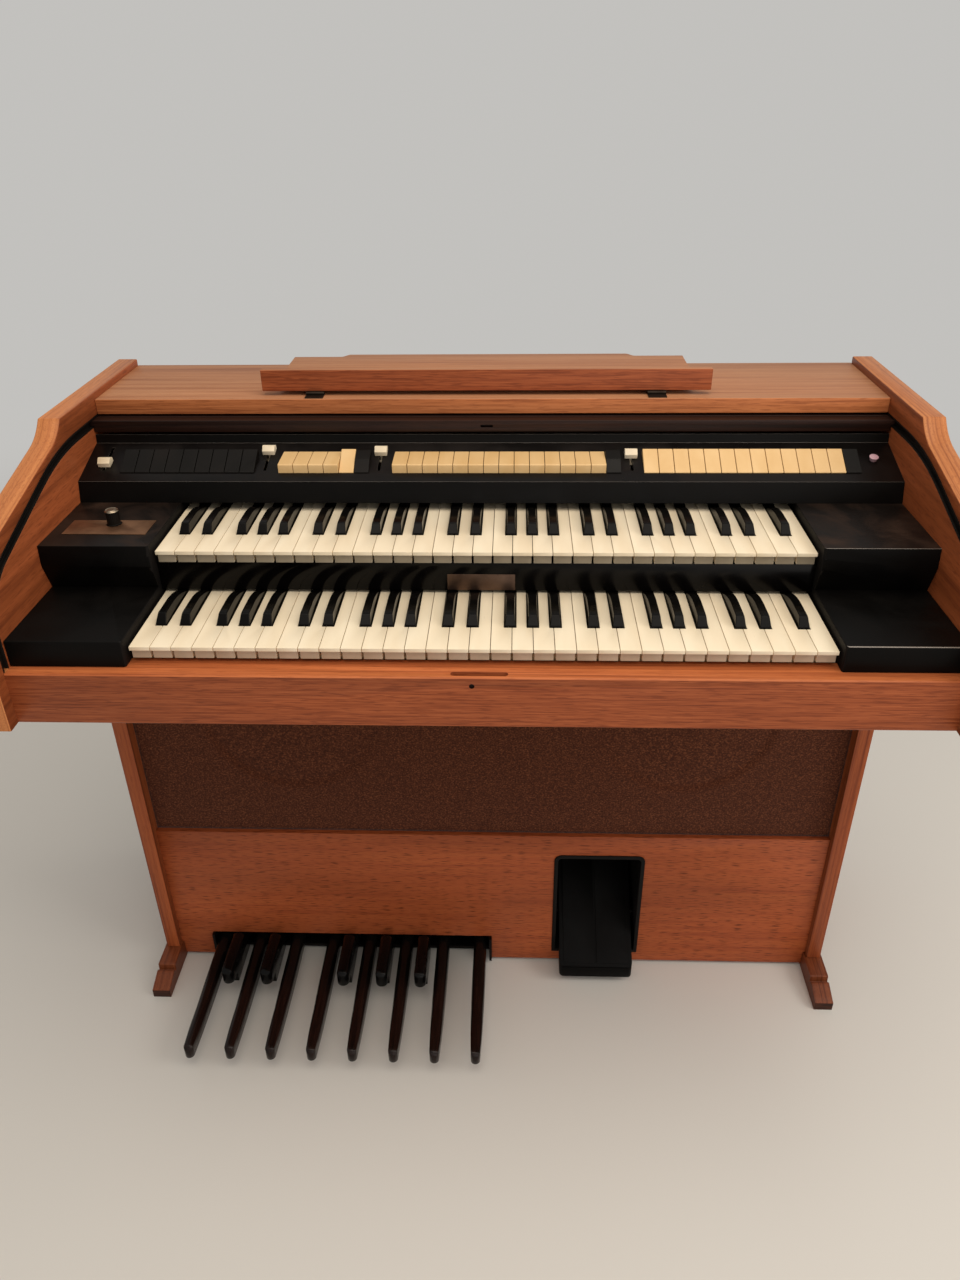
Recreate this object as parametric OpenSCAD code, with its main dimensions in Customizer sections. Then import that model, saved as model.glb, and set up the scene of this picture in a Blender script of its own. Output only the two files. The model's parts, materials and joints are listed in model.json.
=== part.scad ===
// Home electronic organ console: two stepped manuals under a roll top, a folding music desk,
// a swell shoe and a short pedalboard between two panel legs.
// X runs to the player's right, Y away from the player, Z up from the floor.

/* [Case] */
// Height of the underside of the case
case_z = 684; // [640:1:740]
// Depth of the cheeks from front edge to back edge
case_d = 567; // [550:1:700]
// Thickness of an end cheek
cheek_t = 28; // [22:1:34]
// Height of the cheeks above the lid
cheek_rise = 9; // [4:1:20]
// Width of the wood between the roll top's track and the cheek's front edge
edge_w = 26; // [20:1:34]
// Height of the middle of the cheek's round nose above the keyslip
nose_rise = 30; // [20:1:40]
// Slope of the cheek's upper edge, in degrees
cheek_slope = 14; // [8:1:18]
// Distance that the cheeks' flat top starts in front of the lid
flat_lead = 108; // [90:1:120]
// Radius of the hollow curve between the slope and the flat top
cove_r = 71; // [50:1:90]
// Thickness of the lid
lid_t = 20; // [14:1:24]
// Distance from the control panel's upper edge to the lid's front edge
lid_set = 21; // [16:1:26]
// Thickness of the key bed board
bed_t = 20; // [14:1:24]
// Thickness of the hardboard backs
back_t = 5; // [3:1:8]
// Setback of the hardboard backs from the cheeks' back edges
back_setback = 4; // [1:1:10]

/* [Roll top] */
// Width of the black track let into each cheek
track_w = 12; // [10:1:14]
// Depth of the track let into each cheek
track_d = 6; // [4:0.5:8]
// Width of the slot in the track
slot_w = 8; // [6:0.5:9]
// Radius of the track's front bend
track_r = 84; // [78:1:90]
// Slope of the track between its bends, in degrees
track_slope = 18; // [12:1:20]
// Radius of the track's upper bend
bend_r = 372; // [340:1:400]
// Thickness of a slat
slat_t = 7; // [5:0.5:7.5]
// Spacing of the slats
slat_pitch = 20; // [14:1:26]
// Clearance of the slats in the track
slat_gap = 0.5; // [0.3:0.1:1]
// Height of the leading rail
rail_h = 15; // [11:1:16]
// Depth of the leading rail
rail_d = 18; // [12:1:24]
// Projection of the leading rail in front of the lid
rail_out = 21; // [19:1:30]
// Width of the finger slot in the leading rail
finger_w = 16; // [10:1:24]
// Gap between the leading rail and the control panel
rail_gap = 4; // [2:0.5:8]

/* [Legs] */
// Thickness of a leg panel
leg_t = 22; // [18:1:26]
// Setback of the leg's front edge from the cheek's front
leg_set = 278; // [260:1:300]
// Height of a foot
foot_h = 32; // [28:1:40]
// Width of a foot
foot_w = 29; // [24:1:34]
// Setback of the foot's toe from the cheek's front
foot_set = 200; // [160:1:220]
// Length of the foot behind the case
foot_tail = 27; // [10:1:60]
// Height of the toe's blunt end
toe_h = 15; // [10:1:18]
// Length of the toe in front of its step
toe_l = 40; // [30:1:50]
// Height of the small step behind the toe
toe_step = 5; // [3:0.5:8]
// Length of the heel behind its step
heel_l = 22; // [16:1:26]

/* [Lower front] */
// Setback of the kickboard from the cheek's front
kick_set = 290; // [284:1:310]
// Thickness of the kickboard
kick_t = 18; // [12:1:20]
// Height of the kickboard's top edge
kick_top = 280; // [262:1:320]
// Gap under the kickboard
kick_gap = 6; // [3:1:12]
// Setback of the speaker cloth behind the kickboard's face
cloth_set = 8; // [5:0.5:9]
// Thickness of the cloth frame
cloth_t = 4; // [2:0.5:5]
// Thickness of the speaker board
baffle_t = 16; // [12:1:20]
// Radius of a speaker hole
speaker_r = 134; // [90:1:150]
// Distance from the middle to a speaker's centre
speaker_x = 291; // [280:1:330]
// Distance from the case's underside to the speakers' centres
speaker_drop = 184; // [160:1:220]

/* [Keyboards] */
// Spacing of the natural keys
key_pitch = 23.5; // [22.5:0.1:24]
// Number of natural keys in a manual
key_count = 33; // [22:1:34]
// Height of the lower naturals above the case's underside
key_rise = 86.5; // [80:0.5:100]
// Rise of the upper manual above the lower one
manual_rise = 58; // [50:0.5:62]
// Setback of the lower naturals from the cheek's front
key_set = 42; // [38:0.5:46]
// Setback of the upper naturals from the lower ones
manual_step = 123; // [115:0.5:130]
// Length of a natural key
key_l = 175; // [160:1:190]
// Length of a natural's wide head
head_l = 48; // [44:0.5:52]
// Gap between two keys
key_gap = 1; // [0.6:0.1:1.4]
// Thickness of a natural's top plate
lip_t = 4.6; // [3:0.1:6]
// Overhang of the top plate in front of the key's body
lip_over = 4; // [2:0.5:7]
// Height of a natural key
key_h = 16; // [12:0.5:18]
// Inset of the key's body from its top plate, each side
body_in = 1; // [0.5:0.1:1.6]
// Width of a sharp at its foot
sharp_w = 13; // [10:0.5:14]
// Width of a sharp at its top
sharp_top_w = 9.4; // [7:0.1:10]
// Height of a sharp above the naturals
sharp_h = 11.5; // [9:0.5:12]
// Run of a sharp's sloping front
sharp_run = 9; // [5:0.5:12]
// Sideways shift of the outer sharps of a group of two or three
sharp_shift = 2.2; // [0:0.1:2.5]
// Depth of a rail of the key frames
rail_w = 22; // [16:1:26]

/* [Black housing] */
// Width of the key blocks
block_w = 131.25; // [110:0.25:160]
// Rise of the key blocks above their naturals
block_rise = 11; // [8:0.5:12]
// Projection of the lower key block in front of its naturals
lower_over = 8; // [4:0.5:12]
// Projection of the upper key block in front of its naturals
upper_over = 10; // [6:0.5:14]
// Height of the upper block's front face
block_face = 25; // [20:0.5:30]
// Backward lean of the upper block's front face
block_lean = 2; // [0:0.5:4]
// Undercut of the upper block's lower front
block_cut = 10; // [0:0.5:14]
// Gap between a key block and the nearest key
block_gap = 3; // [1:0.5:5]
// Chamfer of the block's inner front corner
block_chamfer = 3; // [2:0.5:6]
// Setback of the board between the manuals behind the upper naturals' front
name_set = 8; // [4:0.5:12]
// Thickness of the board between the manuals
name_t = 8; // [5:0.5:10]
// Gap between the lower naturals and the board between the manuals
name_gap = 3.5; // [3:0.5:6]
// Setback of the fascia from the upper naturals' front
fascia_set = 122; // [116:0.5:130]
// Height of the fascia
fascia_h = 26; // [22:0.5:32]
// Backward lean of the fascia
fascia_lean = 7; // [0:0.5:10]
// Depth of the sloping control panel
panel_run = 78; // [74:0.5:84]
// Rise of the sloping control panel
panel_rise = 24; // [20:0.5:26]
// Height of the upright strip behind the slope
riser_h = 11; // [8:0.5:16]
// Thickness of the housing's sheet
sheet_t = 4; // [2.5:0.5:5]

/* [Stop tabs] */
// Space between the left cheek and the first tab
left_space = 48.9; // [42:0.1:54]
// Space between the first and the second group of tabs
first_space = 31.2; // [26:0.1:34]
// Space between the second and the third group of tabs
second_space = 29.6; // [26:0.1:34]
// Space between the third and the fourth group of tabs
third_space = 28; // [26:0.1:34]
// Space between the last tab and the right cheek
right_space = 48.3; // [40:0.1:54]
// Gap between two tabs
tab_gap = 0.8; // [0.4:0.1:1.2]
// Length of a tab along the panel
tab_l = 45; // [40:0.5:48]
// Distance from the panel's top edge to a tab
tab_top = 19.5; // [16:0.5:22]
// Height of the rear edge of a tab that is off
tab_low = 9.5; // [6:0.5:12]
// Height of the crest of a tab that is on
tab_high = 11; // [8:0.5:13]
// Height of the ridge across the middle of a black rocker tab
rocker_high = 7.5; // [6:0.5:9]
// Width of a slider cap
cap_w = 16; // [12:0.5:18]
// Length of a slider cap along the panel
cap_l = 14; // [10:0.5:16]
// Height of a slider cap's crest
cap_h = 10; // [7:0.5:12]
// Length of a slider's slot
cap_slot_l = 49; // [30:1:52]
// Width of a slider's slot
cap_slot = 4; // [3:0.5:6]
// Length of a slider's stem along its slot
stem_l = 8; // [5:0.5:10]
// Clearance of a slider's stem in its slot
stem_gap = 0.4; // [0.2:0.1:0.6]

/* [Small fittings] */
// Radius of the volume knob
knob_r = 8.5; // [7:0.5:11]
// Height of the volume knob
knob_h = 19; // [14:1:22]
// Radius of the pilot lamp's lens
lamp_r = 5.8; // [4:0.1:7]
// Height of the pilot lamp's lens
lamp_h = 6; // [3:0.5:8]
// Margin of the volume knob's plate to the cheek
plate_out = 16; // [8:1:20]
// Margin of the volume knob's plate to the keys
plate_in = 13.25; // [8:0.25:20]
// Depth of the plate beside the volume knob
plate_d = 41; // [30:1:46]
// Width of the bare nameplate
nameplate_w = 81; // [60:1:100]
// Height of the bare nameplate
nameplate_h = 21; // [14:1:24]
// Thickness of the metal plates
plate_t = 0.8; // [0.5:0.1:1.5]

/* [Keyslip] */
// Setback of the keyslip from the cheek's front
slip_set = 18; // [12:1:22]
// Depth of the keyslip
slip_d = 36; // [30:1:40]
// Gap between the keyslip's top and the underside of the naturals
slip_gap = 5.5; // [3:0.5:8]
// Width of the lock's slot in the keyslip
lock_w = 63; // [40:1:80]
// Depth of the lock's slot from front to back
lock_d = 8; // [6:0.5:12]
// Width of the narrow bevels on the keyslip's front edges
slip_bevel = 1.5; // [0.5:0.5:3]
// Radius of the keyhole
keyhole_r = 3; // [2:0.5:4]

/* [Music desk] */
// Width of the music desk's ledge
ledge_w = 593; // [560:1:640]
// Width of the music desk's panel
desk_w = 552; // [500:1:556]
// Distance from the folded panel's crest to the back of the lid
desk_back = 23; // [10:1:40]
// Width of the panel's raised middle
crest_w = 394; // [300:1:440]
// Projection of the panel's raised middle
crest_d = 12; // [6:1:16]
// Thickness of the panel
desk_t = 14; // [10:1:16]
// Height of the ledge
ledge_h = 28; // [22:1:34]
// Thickness of the ledge
ledge_t = 10; // [8:1:14]
// Gap between the lid and the folded desk
desk_gap = 6; // [5:0.5:9]
// Radius of the studs that the folded desk rests on
stud_r = 6; // [4:0.5:8]
// Gap between a stud and the folded desk
stud_gap = 0.3; // [0.1:0.1:0.6]
// Setback of the ledge from the lid's front edge
desk_set = 16; // [14:1:24]
// Distance from the middle to a desk hinge
hinge_x = 226; // [180:1:250]
// Width of a desk hinge
hinge_w = 24; // [18:1:30]
// Radius of a desk hinge's knuckle
hinge_r = 2.5; // [2:0.1:2.8]
// Thickness of a hinge leaf
leaf_t = 1.5; // [1:0.1:2]
// Length of a moving hinge leaf
leaf_l = 26; // [16:1:40]

/* [Swell shoe] */
// Setback of the shoe's heel from the cheek's front
shoe_set = 244; // [236:1:252]
// Height of the shoe's heel edge
heel_z = 38; // [34:1:44]
// Distance from the heel edge back to the pin that the shoe tilts on
pin_set = 88; // [80:1:100]
// Height of the pin above the heel edge
pin_rise = 40; // [34:1:44]
// Wall of the pin's bosses on the shoe
boss_t = 6; // [4:0.5:8]
// Wall of the shoe's box
box_t = 6; // [4:0.5:9]
// Distance from the middle to the left side of the shoe's opening
swell_x = 104; // [90:1:130]
// Width of the shoe's opening
swell_w = 143; // [134:1:160]
// Height of the opening's lower edge
swell_z = 26; // [20:1:32]
// Height of the opening
swell_h = 215; // [204:1:226]
// Radius of the opening's upper corners
opening_r = 12; // [10:0.5:14]
// Wall of the box's lining inside the opening
lining_t = 6; // [4:0.5:8]
// How far the lining stands out of the kickboard
lining_out = 2; // [1:0.5:4]
// Width of the shoe
shoe_w = 119; // [100:1:124]
// Radius of the corners of the shoe's heel
heel_r = 8; // [4:0.5:12]
// Length of the shoe's tread
shoe_l = 212; // [190:1:216]
// Height of the shoe's heel face
heel_h = 22; // [16:1:26]
// Thickness of the shoe's heel wall
heel_wall = 10; // [6:0.5:14]
// Thickness of the shoe's side skirts
skirt_t = 5; // [3:0.5:8]
// Margin round the two pads on the tread
pad_in = 7; // [4:0.5:9]
// Gap between the two pads
pad_gap = 4; // [2:0.5:6]
// Thickness of the pads on the tread
pad_t = 1.2; // [0.8:0.1:2]
// Slope of the tread at rest, in degrees
shoe_slope = 35; // [30:1:36]
// Thickness of the tread
shoe_t = 12; // [10:1:16]
// Depth of the shoe's box behind the kickboard
swell_d = 160; // [158:1:180]

/* [Pedalboard] */
// Spacing of the natural pedals
pedal_pitch = 62; // [60:0.5:66]
// Position of the last natural pedal from the middle
pedal_last_x = -16.5; // [-24:0.5:-14]
// Setback of the pedals' tips from the cheek's front
pedal_set = 66; // [50:1:80]
// Width of a natural pedal
pedal_w = 21; // [18:0.5:22]
// Width of a natural pedal's tip
pedal_tip = 14; // [12:0.5:17]
// Length of a natural pedal's taper
pedal_run = 80; // [50:5:120]
// Width of a sharp pedal
pedal_sharp_w = 19; // [16:0.5:20]
// Height of the natural pedals' tops
pedal_z = 50; // [46:1:52]
// Thickness of a pedal
pedal_t = 21; // [16:1:23]
// Rise of a sharp pedal's block above the naturals
pedal_rise = 27; // [20:1:34]
// Setback of the sharp pedals' noses from the naturals' tips
pedal_sharp_set = 122; // [110:1:130]
// Length of a sharp pedal's block
pedal_block_l = 82; // [70:1:90]
// Radius of the pedals' pivot rod
rod_r = 4; // [3:0.5:6]
// Clearance of the pivot rod in the pedals
rod_gap = 0.05; // [0.02:0.01:0.1]
// Clear space between the pedals and the frame around them
frame_gap = 5; // [5:0.5:8]
// Clear space over the naturals in the kickboard's opening
pedal_cut_gap = 7; // [5.5:0.5:12]
// Height of the frame behind the kickboard
frame_h = 70; // [66:1:90]

/* [Hidden] */
$fn = 48;
cut = 1;

// Manuals
manual_w = key_pitch * key_count;
block_x = manual_w / 2 + block_gap;
key_z = case_z + key_rise;

// Front, back and inner faces of the case
front_y = -(case_d + foot_tail) / 2;
back_y = front_y + case_d;
in_x = block_x + block_w;
case_x = in_x + cheek_t;
panel_back_y = back_y - back_setback - back_t;
bed_z = case_z + bed_t;

// Places of the keys, the blocks and the control panel
lower_y = front_y + key_set;
upper_y = lower_y + manual_step;
upper_z = key_z + manual_rise;
lower_block_z = key_z + block_rise;
upper_block_z = upper_z + block_rise;
slip_y = front_y + slip_set;
slip_z = key_z - key_h - slip_gap;
name_y = upper_y + name_set;
fascia_y = upper_y + fascia_set;
fascia_top_y = fascia_y + fascia_lean;
fascia_top_z = upper_block_z + fascia_h;
panel_y = fascia_top_y + panel_run;
panel_z = fascia_top_z + panel_rise;
panel_angle = atan2(panel_rise, panel_run);
block_back_y = fascia_y + 30;
riser_z = panel_z + riser_h;
lid_y = panel_y + lid_set;
lid_d = back_y - lid_y;

// Track, lid and the flat top of the cheeks
nose_r = track_r + edge_w;
track_c = [front_y + nose_r, slip_z + nose_rise];
track_end_y = panel_back_y - 12;
slat_z = riser_z + rail_gap + rail_h - slat_t / 2;
lid_z = slat_z + track_w / 2;
case_h = lid_z + lid_t + cheek_rise;

// Legs and lower front
leg_out = case_x;
leg_in = leg_out - leg_t;
leg_y = front_y + leg_set;
foot_x = (leg_in + leg_out) / 2;
kick_y = front_y + kick_set;
cloth_y = kick_y + cloth_set;

// Swell shoe
shoe_heel = [front_y + shoe_set, heel_z];
shoe_pivot = shoe_heel + [pin_set, pin_rise];

// Pedals
pedal_y = front_y + pedal_set;
rod_y = panel_back_y - 22;
rod_z = pedal_z - pedal_t / 2;
pedal_back_y = rod_y + 10;
pedal_first_x = pedal_last_x - 7 * pedal_pitch;
frame_in = [pedal_first_x - pedal_w / 2 - frame_gap, pedal_last_x + pedal_w / 2 + frame_gap];
frame_t = 4;
frame_out = [frame_in[0] - frame_t, frame_in[1] + frame_t];

// Points of an arc of radius r about c, from angle a to angle b
function arc(c, r, a, b, n = 12) =
    [for (i = [0:n]) c + r * [cos(a + (b - a) * i / n), sin(a + (b - a) * i / n)]];

// Draws its children's outline, given in Y and Z, as a solid from x0 to x1
module along_x(x0, x1) {
    translate([x0, 0, 0])
        rotate([90, 0, 90])
            linear_extrude(x1 - x0)
                children();
}

// Block with its lowest corner at a and its highest corner at b
module block(a, b) {
    translate(a)
        cube(b - a);
}

// Repeats its children on the left as a mirror image
module mirrored() {
    mirror([1, 0, 0])
        children();
}

// Sharps stand right of these naturals of an octave that starts on C
function has_sharp(i) = let (s = i % 7) s != 2 && s != 6;

// Cheek

// Middle line of the track's slot: level under the lid, down a slope, round the front bend
function track_line() =
    let (
        bend_top = track_c + track_r * [-sin(track_slope), cos(track_slope)],
        slope_end_z = slat_z - bend_r * (1 - cos(track_slope)),
        slope_run = (slope_end_z - bend_top[1]) / tan(track_slope),
        bend_c = [bend_top[0] + slope_run + bend_r * sin(track_slope), slat_z - bend_r]
    )
    concat(
        [[track_c[0] - track_r, slip_z]],
        arc(track_c, track_r, 180, 90 + track_slope, 10),
        arc(bend_c, bend_r, 90 + track_slope, 90, 6),
        [[track_end_y, slat_z]]
    );

// Outline of a band of width w along the points p
function unit(v) = v / norm(v);
function side_of(p, i) =
    let (
        a = p[max(i - 1, 0)],
        b = p[min(i + 1, len(p) - 1)],
        d = unit(b - a)
    )
    [-d[1], d[0]];
function band(p, w) = concat(
    [for (i = [0:len(p) - 1]) p[i] + side_of(p, i) * w / 2],
    [for (i = [len(p) - 1:-1:0]) p[i] - side_of(p, i) * w / 2]
);

// Side outline of a cheek: round nose, long slope, hollow curve and flat top
function cheek_outline() =
    let (
        slope = [cos(cheek_slope), sin(cheek_slope)],
        normal = [-sin(cheek_slope), cos(cheek_slope)],
        nose = arc(track_c, nose_r, 180, 90 + cheek_slope, 12),
        flat_start = [lid_y - flat_lead, case_h],
        v = flat_start - nose[12] - cove_r * normal,
        run = v * slope - sqrt(pow(v * slope, 2) - v * v + cove_r * cove_r),
        cove_c = nose[12] + run * slope + cove_r * normal,
        end = flat_start - cove_c
    )
    concat(
        [[front_y, case_z]],
        nose,
        arc(cove_c, cove_r, cheek_slope - 90, atan2(end[1], end[0]), 6),
        [[back_y, case_h], [back_y, case_z]]
    );

module cheek() {
    color("sienna")
        difference() {
            along_x(in_x, case_x)
                polygon(cheek_outline());
            along_x(in_x - cut, in_x + track_d)
                polygon(band(track_line(), track_w));
        }
}

module right_cheek() { cheek(); }
module left_cheek() { mirrored() cheek(); }

module track() {
    color("#1a1716")
        difference() {
            along_x(in_x, in_x + track_d)
                polygon(band(track_line(), track_w));
            along_x(in_x - cut, in_x + track_d - 1.5)
                polygon(band(track_line(), slot_w));
        }
}

module right_track() { track(); }
module left_track() { mirrored() track(); }

// Case boards

module lid() {
    color("peru")
        block([-in_x, lid_y, lid_z], [in_x, back_y, lid_z + lid_t]);
}

module key_bed() {
    color("tan")
        block([-in_x, slip_y + slip_d, case_z], [in_x, panel_back_y, bed_z]);
}

module upper_back() {
    color("burlywood")
        block([-in_x, panel_back_y, case_z], [in_x, panel_back_y + back_t, lid_z]);
}

module lower_back() {
    color("burlywood")
        block([-leg_in, panel_back_y, foot_h + 24], [leg_in, panel_back_y + back_t, case_z]);
}

// Roll top, run back under the lid: a leading rail with a finger slot, then slats on canvas
module roll_top() {
    half = in_x + track_d - 2;
    tongue_x = in_x - slat_gap;
    rail_y = lid_y - rail_out;
    slats_y = rail_y + rail_d;
    last_y = track_end_y - slat_pitch - 4;
    bottom_z = slat_z - slat_t / 2;
    color("#3a2016") {
        difference() {
            block([-half, rail_y, bottom_z + slat_t - rail_h], [half, slats_y, bottom_z + slat_t]);
            block([tongue_x, rail_y - cut, slat_z - rail_h], [half + cut, slats_y + cut, bottom_z]);
            block([-half - cut, rail_y - cut, slat_z - rail_h], [-tongue_x, slats_y + cut, bottom_z]);
            block([-finger_w / 2, rail_y - cut, slat_z - 6], [finger_w / 2, rail_y + 8, slat_z - 2.5]);
        }
        for (y = [slats_y + cut:slat_pitch:last_y])
            block([-half, y, bottom_z], [half, y + slat_pitch - 1, bottom_z + slat_t]);
        block([-in_x + 8, slats_y, slat_z - 1], [in_x - 8, last_y, slat_z + 1]);
    }
}

// Legs and feet

module leg() {
    color("sienna")
        block([leg_in, leg_y, foot_h], [leg_out, panel_back_y + back_t, case_z]);
}

module right_leg() { leg(); }
module left_leg() { mirrored() leg(); }

// Side outline of one end of a foot, its tip at y = 0: blunt end, swelling instep, small step
function foot_end(l) =
    let (low = foot_h - toe_step, swell = 0.65)
    concat(
        [[0, 0], [0, toe_h]],
        [for (a = [15:15:90]) [(l - 4) * sin(a),
            toe_h + (low - toe_h) * (swell * sin(a) + (1 - swell) * (1 - cos(a)))]],
        [[l - 2, low], [l, foot_h]]
    );

module foot() {
    toe_y = front_y + foot_set;
    tail_y = back_y + foot_tail;
    toe = foot_end(toe_l);
    heel = foot_end(heel_l);
    color("sienna")
        along_x(foot_x - foot_w / 2, foot_x + foot_w / 2)
            polygon(concat(
                [for (p = toe) [toe_y + p[0], p[1]]],
                [for (i = [len(heel) - 1:-1:0]) [tail_y - heel[i][0], heel[i][1]]]
            ));
}

module right_foot() { foot(); }
module left_foot() { mirrored() foot(); }

// Lower front

module speaker_board() {
    y = cloth_y + cloth_t;
    color("tan")
        difference() {
            block([-leg_in, y, kick_top], [leg_in, y + baffle_t, case_z]);
            for (s = [-1, 1])
                translate([s * speaker_x, y - cut, case_z - speaker_drop])
                    rotate([-90, 0, 0])
                        cylinder(h = baffle_t + 2 * cut, r = speaker_r, $fn = 96);
        }
}

module speaker_cloth() {
    color("#4a2c20")
        block([-leg_in, cloth_y, kick_top], [leg_in, cloth_y + cloth_t, case_z]);
}

// Upright opening with rounded top corners
module swell_opening(grow, depth_y, depth) {
    r = opening_r + grow;
    x0 = swell_x - grow;
    x1 = swell_x + swell_w + grow;
    z1 = swell_z + swell_h + grow;
    translate([0, depth_y + depth, 0])
        rotate([90, 0, 0])
            linear_extrude(depth) {
                translate([x0, swell_z - grow])
                    square([x1 - x0, z1 - r - swell_z + grow]);
                translate([x0 + r, swell_z - grow])
                    square([x1 - x0 - 2 * r, z1 - swell_z + grow]);
                for (x = [x0 + r, x1 - r])
                    translate([x, z1 - r])
                        circle(r);
            }
}

module kickboard() {
    color("chocolate")
        difference() {
            block([-leg_in, kick_y, kick_gap], [leg_in, kick_y + kick_t, kick_top]);
            block([frame_out[0], kick_y - cut, kick_gap - cut],
                [frame_out[1], kick_y + kick_t + cut, pedal_z + pedal_cut_gap]);
            swell_opening(0, kick_y - cut, kick_t + 2 * cut);
            for (x = [-leg_in - cut, foot_x - foot_w / 2])
                block([x, kick_y - cut, 0], [x + leg_in - foot_x + foot_w / 2 + cut, kick_y + kick_t + cut, foot_h]);
        }
}

// Keyslip with the lock's slot in its top and the keyhole in its face
module keyslip() {
    slot_y = slip_y + 4 + lock_d / 2;
    b = slip_bevel;
    color("sienna")
        difference() {
            along_x(-in_x, in_x)
                polygon([[slip_y, case_z + b], [slip_y, slip_z - b], [slip_y + b, slip_z],
                    [slip_y + slip_d, slip_z], [slip_y + slip_d, case_z], [slip_y + b, case_z]]);
            translate([0, slot_y, slip_z - 10])
                linear_extrude(10 + cut) {
                    square([lock_w - lock_d, lock_d], center = true);
                    for (s = [-1, 1])
                        translate([s * (lock_w - lock_d) / 2, 0])
                            circle(lock_d / 2);
                }
            translate([-8, slip_y - cut, slip_z - 11])
                rotate([-90, 0, 0])
                    cylinder(h = 3 + cut, r = keyhole_r);
        }
}

// Key blocks

// Front corner of a block towards the keys, cut off upright at the front
module corner_cut(x, y) {
    translate([x, y, 0])
        linear_extrude(case_h)
            polygon([[-cut, -cut], [block_chamfer, -cut], [-cut, block_chamfer]]);
}

module lower_block() {
    y = lower_y - lower_over;
    color("#15120f")
        difference() {
            along_x(block_x, in_x)
                polygon([[y, slip_z], [slip_y + slip_d, slip_z], [slip_y + slip_d, bed_z],
                    [block_back_y, bed_z], [block_back_y, lower_block_z], [y, lower_block_z]]);
            corner_cut(block_x, y);
        }
}

module lower_right_block() { lower_block(); }
module lower_left_block() { mirrored() lower_block(); }

module upper_block() {
    y = upper_y - upper_over;
    color("#15120f")
        difference() {
            along_x(block_x, in_x)
                polygon([[y, upper_block_z], [y - block_lean, upper_block_z - block_face],
                    [y + block_cut, lower_block_z], [block_back_y, lower_block_z],
                    [block_back_y, upper_block_z]]);
            corner_cut(block_x, y);
        }
}

module upper_right_block() { upper_block(); }
module upper_left_block() { mirrored() upper_block(); }

// Key frame: a front rail, a back rail and three bearers between them, for the keys to lie on
module key_frame(y, under_z, seat_z) {
    half = block_x - 1;
    front = y + name_set + name_t + 2;
    back = y + key_l - rail_w - 4;
    block([-half, front, under_z], [half, front + rail_w, seat_z]);
    block([-half, back, under_z], [half, back + rail_w, seat_z]);
    for (x = [-half, -rail_w / 2, half - rail_w])
        block([x, front, under_z], [x + rail_w, back + rail_w, seat_z - 6]);
}

module lower_key_frame() {
    color("tan")
        key_frame(lower_y, bed_z, key_z - key_h);
}

// The upper frame has a board of its own, carried by the blocks at its ends
module upper_key_frame() {
    board_z = lower_block_z + 2;
    board_t = 9;
    color("#15120f") {
        block([-block_x, name_y + name_t, board_z], [block_x, upper_y + key_l, board_z + board_t]);
        key_frame(upper_y, board_z + board_t, upper_z - key_h);
    }
}

// Sideways shift of the sharp right of natural i: outwards in each group, none in the middle of three
function shift(i) = let (s = i % 7) s == 0 || s == 3 ? -sharp_shift : s == 4 ? 0 : sharp_shift;

// Outline of natural i seen from above, its front left corner at the origin
module natural_top(i) {
    w = key_pitch - key_gap;
    side = sharp_w / 2 + 0.3;
    left_cut = has_sharp(i + 6) && i > 0 ? side + shift(i + 6) : 0;
    right_cut = has_sharp(i) && i < key_count - 1 ? side - shift(i) : 0;
    polygon([[0, 0], [w, 0], [w, head_l], [w - right_cut, head_l], [w - right_cut, key_l],
        [left_cut, key_l], [left_cut, head_l], [0, head_l]]);
}

module natural(i) {
    translate([0, 0, key_h - lip_t])
        linear_extrude(lip_t)
            natural_top(i);
    linear_extrude(key_h - lip_t)
        intersection() {
            natural_top(i);
            translate([body_in, lip_over])
                square([key_pitch - key_gap - 2 * body_in, key_l]);
        }
}

module naturals(y, z) {
    color("ivory")
        for (i = [0:key_count - 1])
            translate([-manual_w / 2 + i * key_pitch + key_gap / 2, y, z - key_h])
                natural(i);
}

// Sharp: sloping front, bevelled sides and a back that curves down to pass under the board behind
module sharp() {
    l = key_l - head_l - key_gap;
    base = key_h;
    hide_y = manual_step + name_set - head_l - key_gap;
    crown_y = hide_y * 0.45;
    low = 2;
    intersection() {
        along_x(-sharp_w / 2, sharp_w / 2)
            polygon(concat(
                [[0, -base], [0, 1.5], [sharp_run, sharp_h - 0.6], [sharp_run + 3, sharp_h]],
                [for (t = [0:0.2:1]) [crown_y + t * (hide_y - crown_y), sharp_h - (sharp_h - low) * t * t]],
                [[l, low], [l, -base]]
            ));
        translate([0, l, 0])
            rotate([90, 0, 0])
                linear_extrude(l)
                    polygon([[-sharp_w / 2, -base], [sharp_w / 2, -base], [sharp_w / 2, 0],
                        [sharp_top_w / 2, sharp_h], [-sharp_top_w / 2, sharp_h],
                        [-sharp_w / 2, 0]]);
    }
}

module sharps(y, z) {
    color("#14110f")
        for (i = [0:key_count - 2])
            if (has_sharp(i))
                translate([-manual_w / 2 + (i + 1) * key_pitch + shift(i), y + head_l + key_gap, z])
                    sharp();
}

module lower_naturals() { naturals(lower_y, key_z); }
module lower_sharps() { sharps(lower_y, key_z); }
module upper_naturals() { naturals(upper_y, upper_z); }
module upper_sharps() { sharps(upper_y, upper_z); }

// Board between the manuals, cut away above the lower keys
module nameboard() {
    color("#15120f")
        block([-block_x, name_y, key_z + name_gap], [block_x, name_y + name_t, upper_z - key_h - 1.5]);
}

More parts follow.
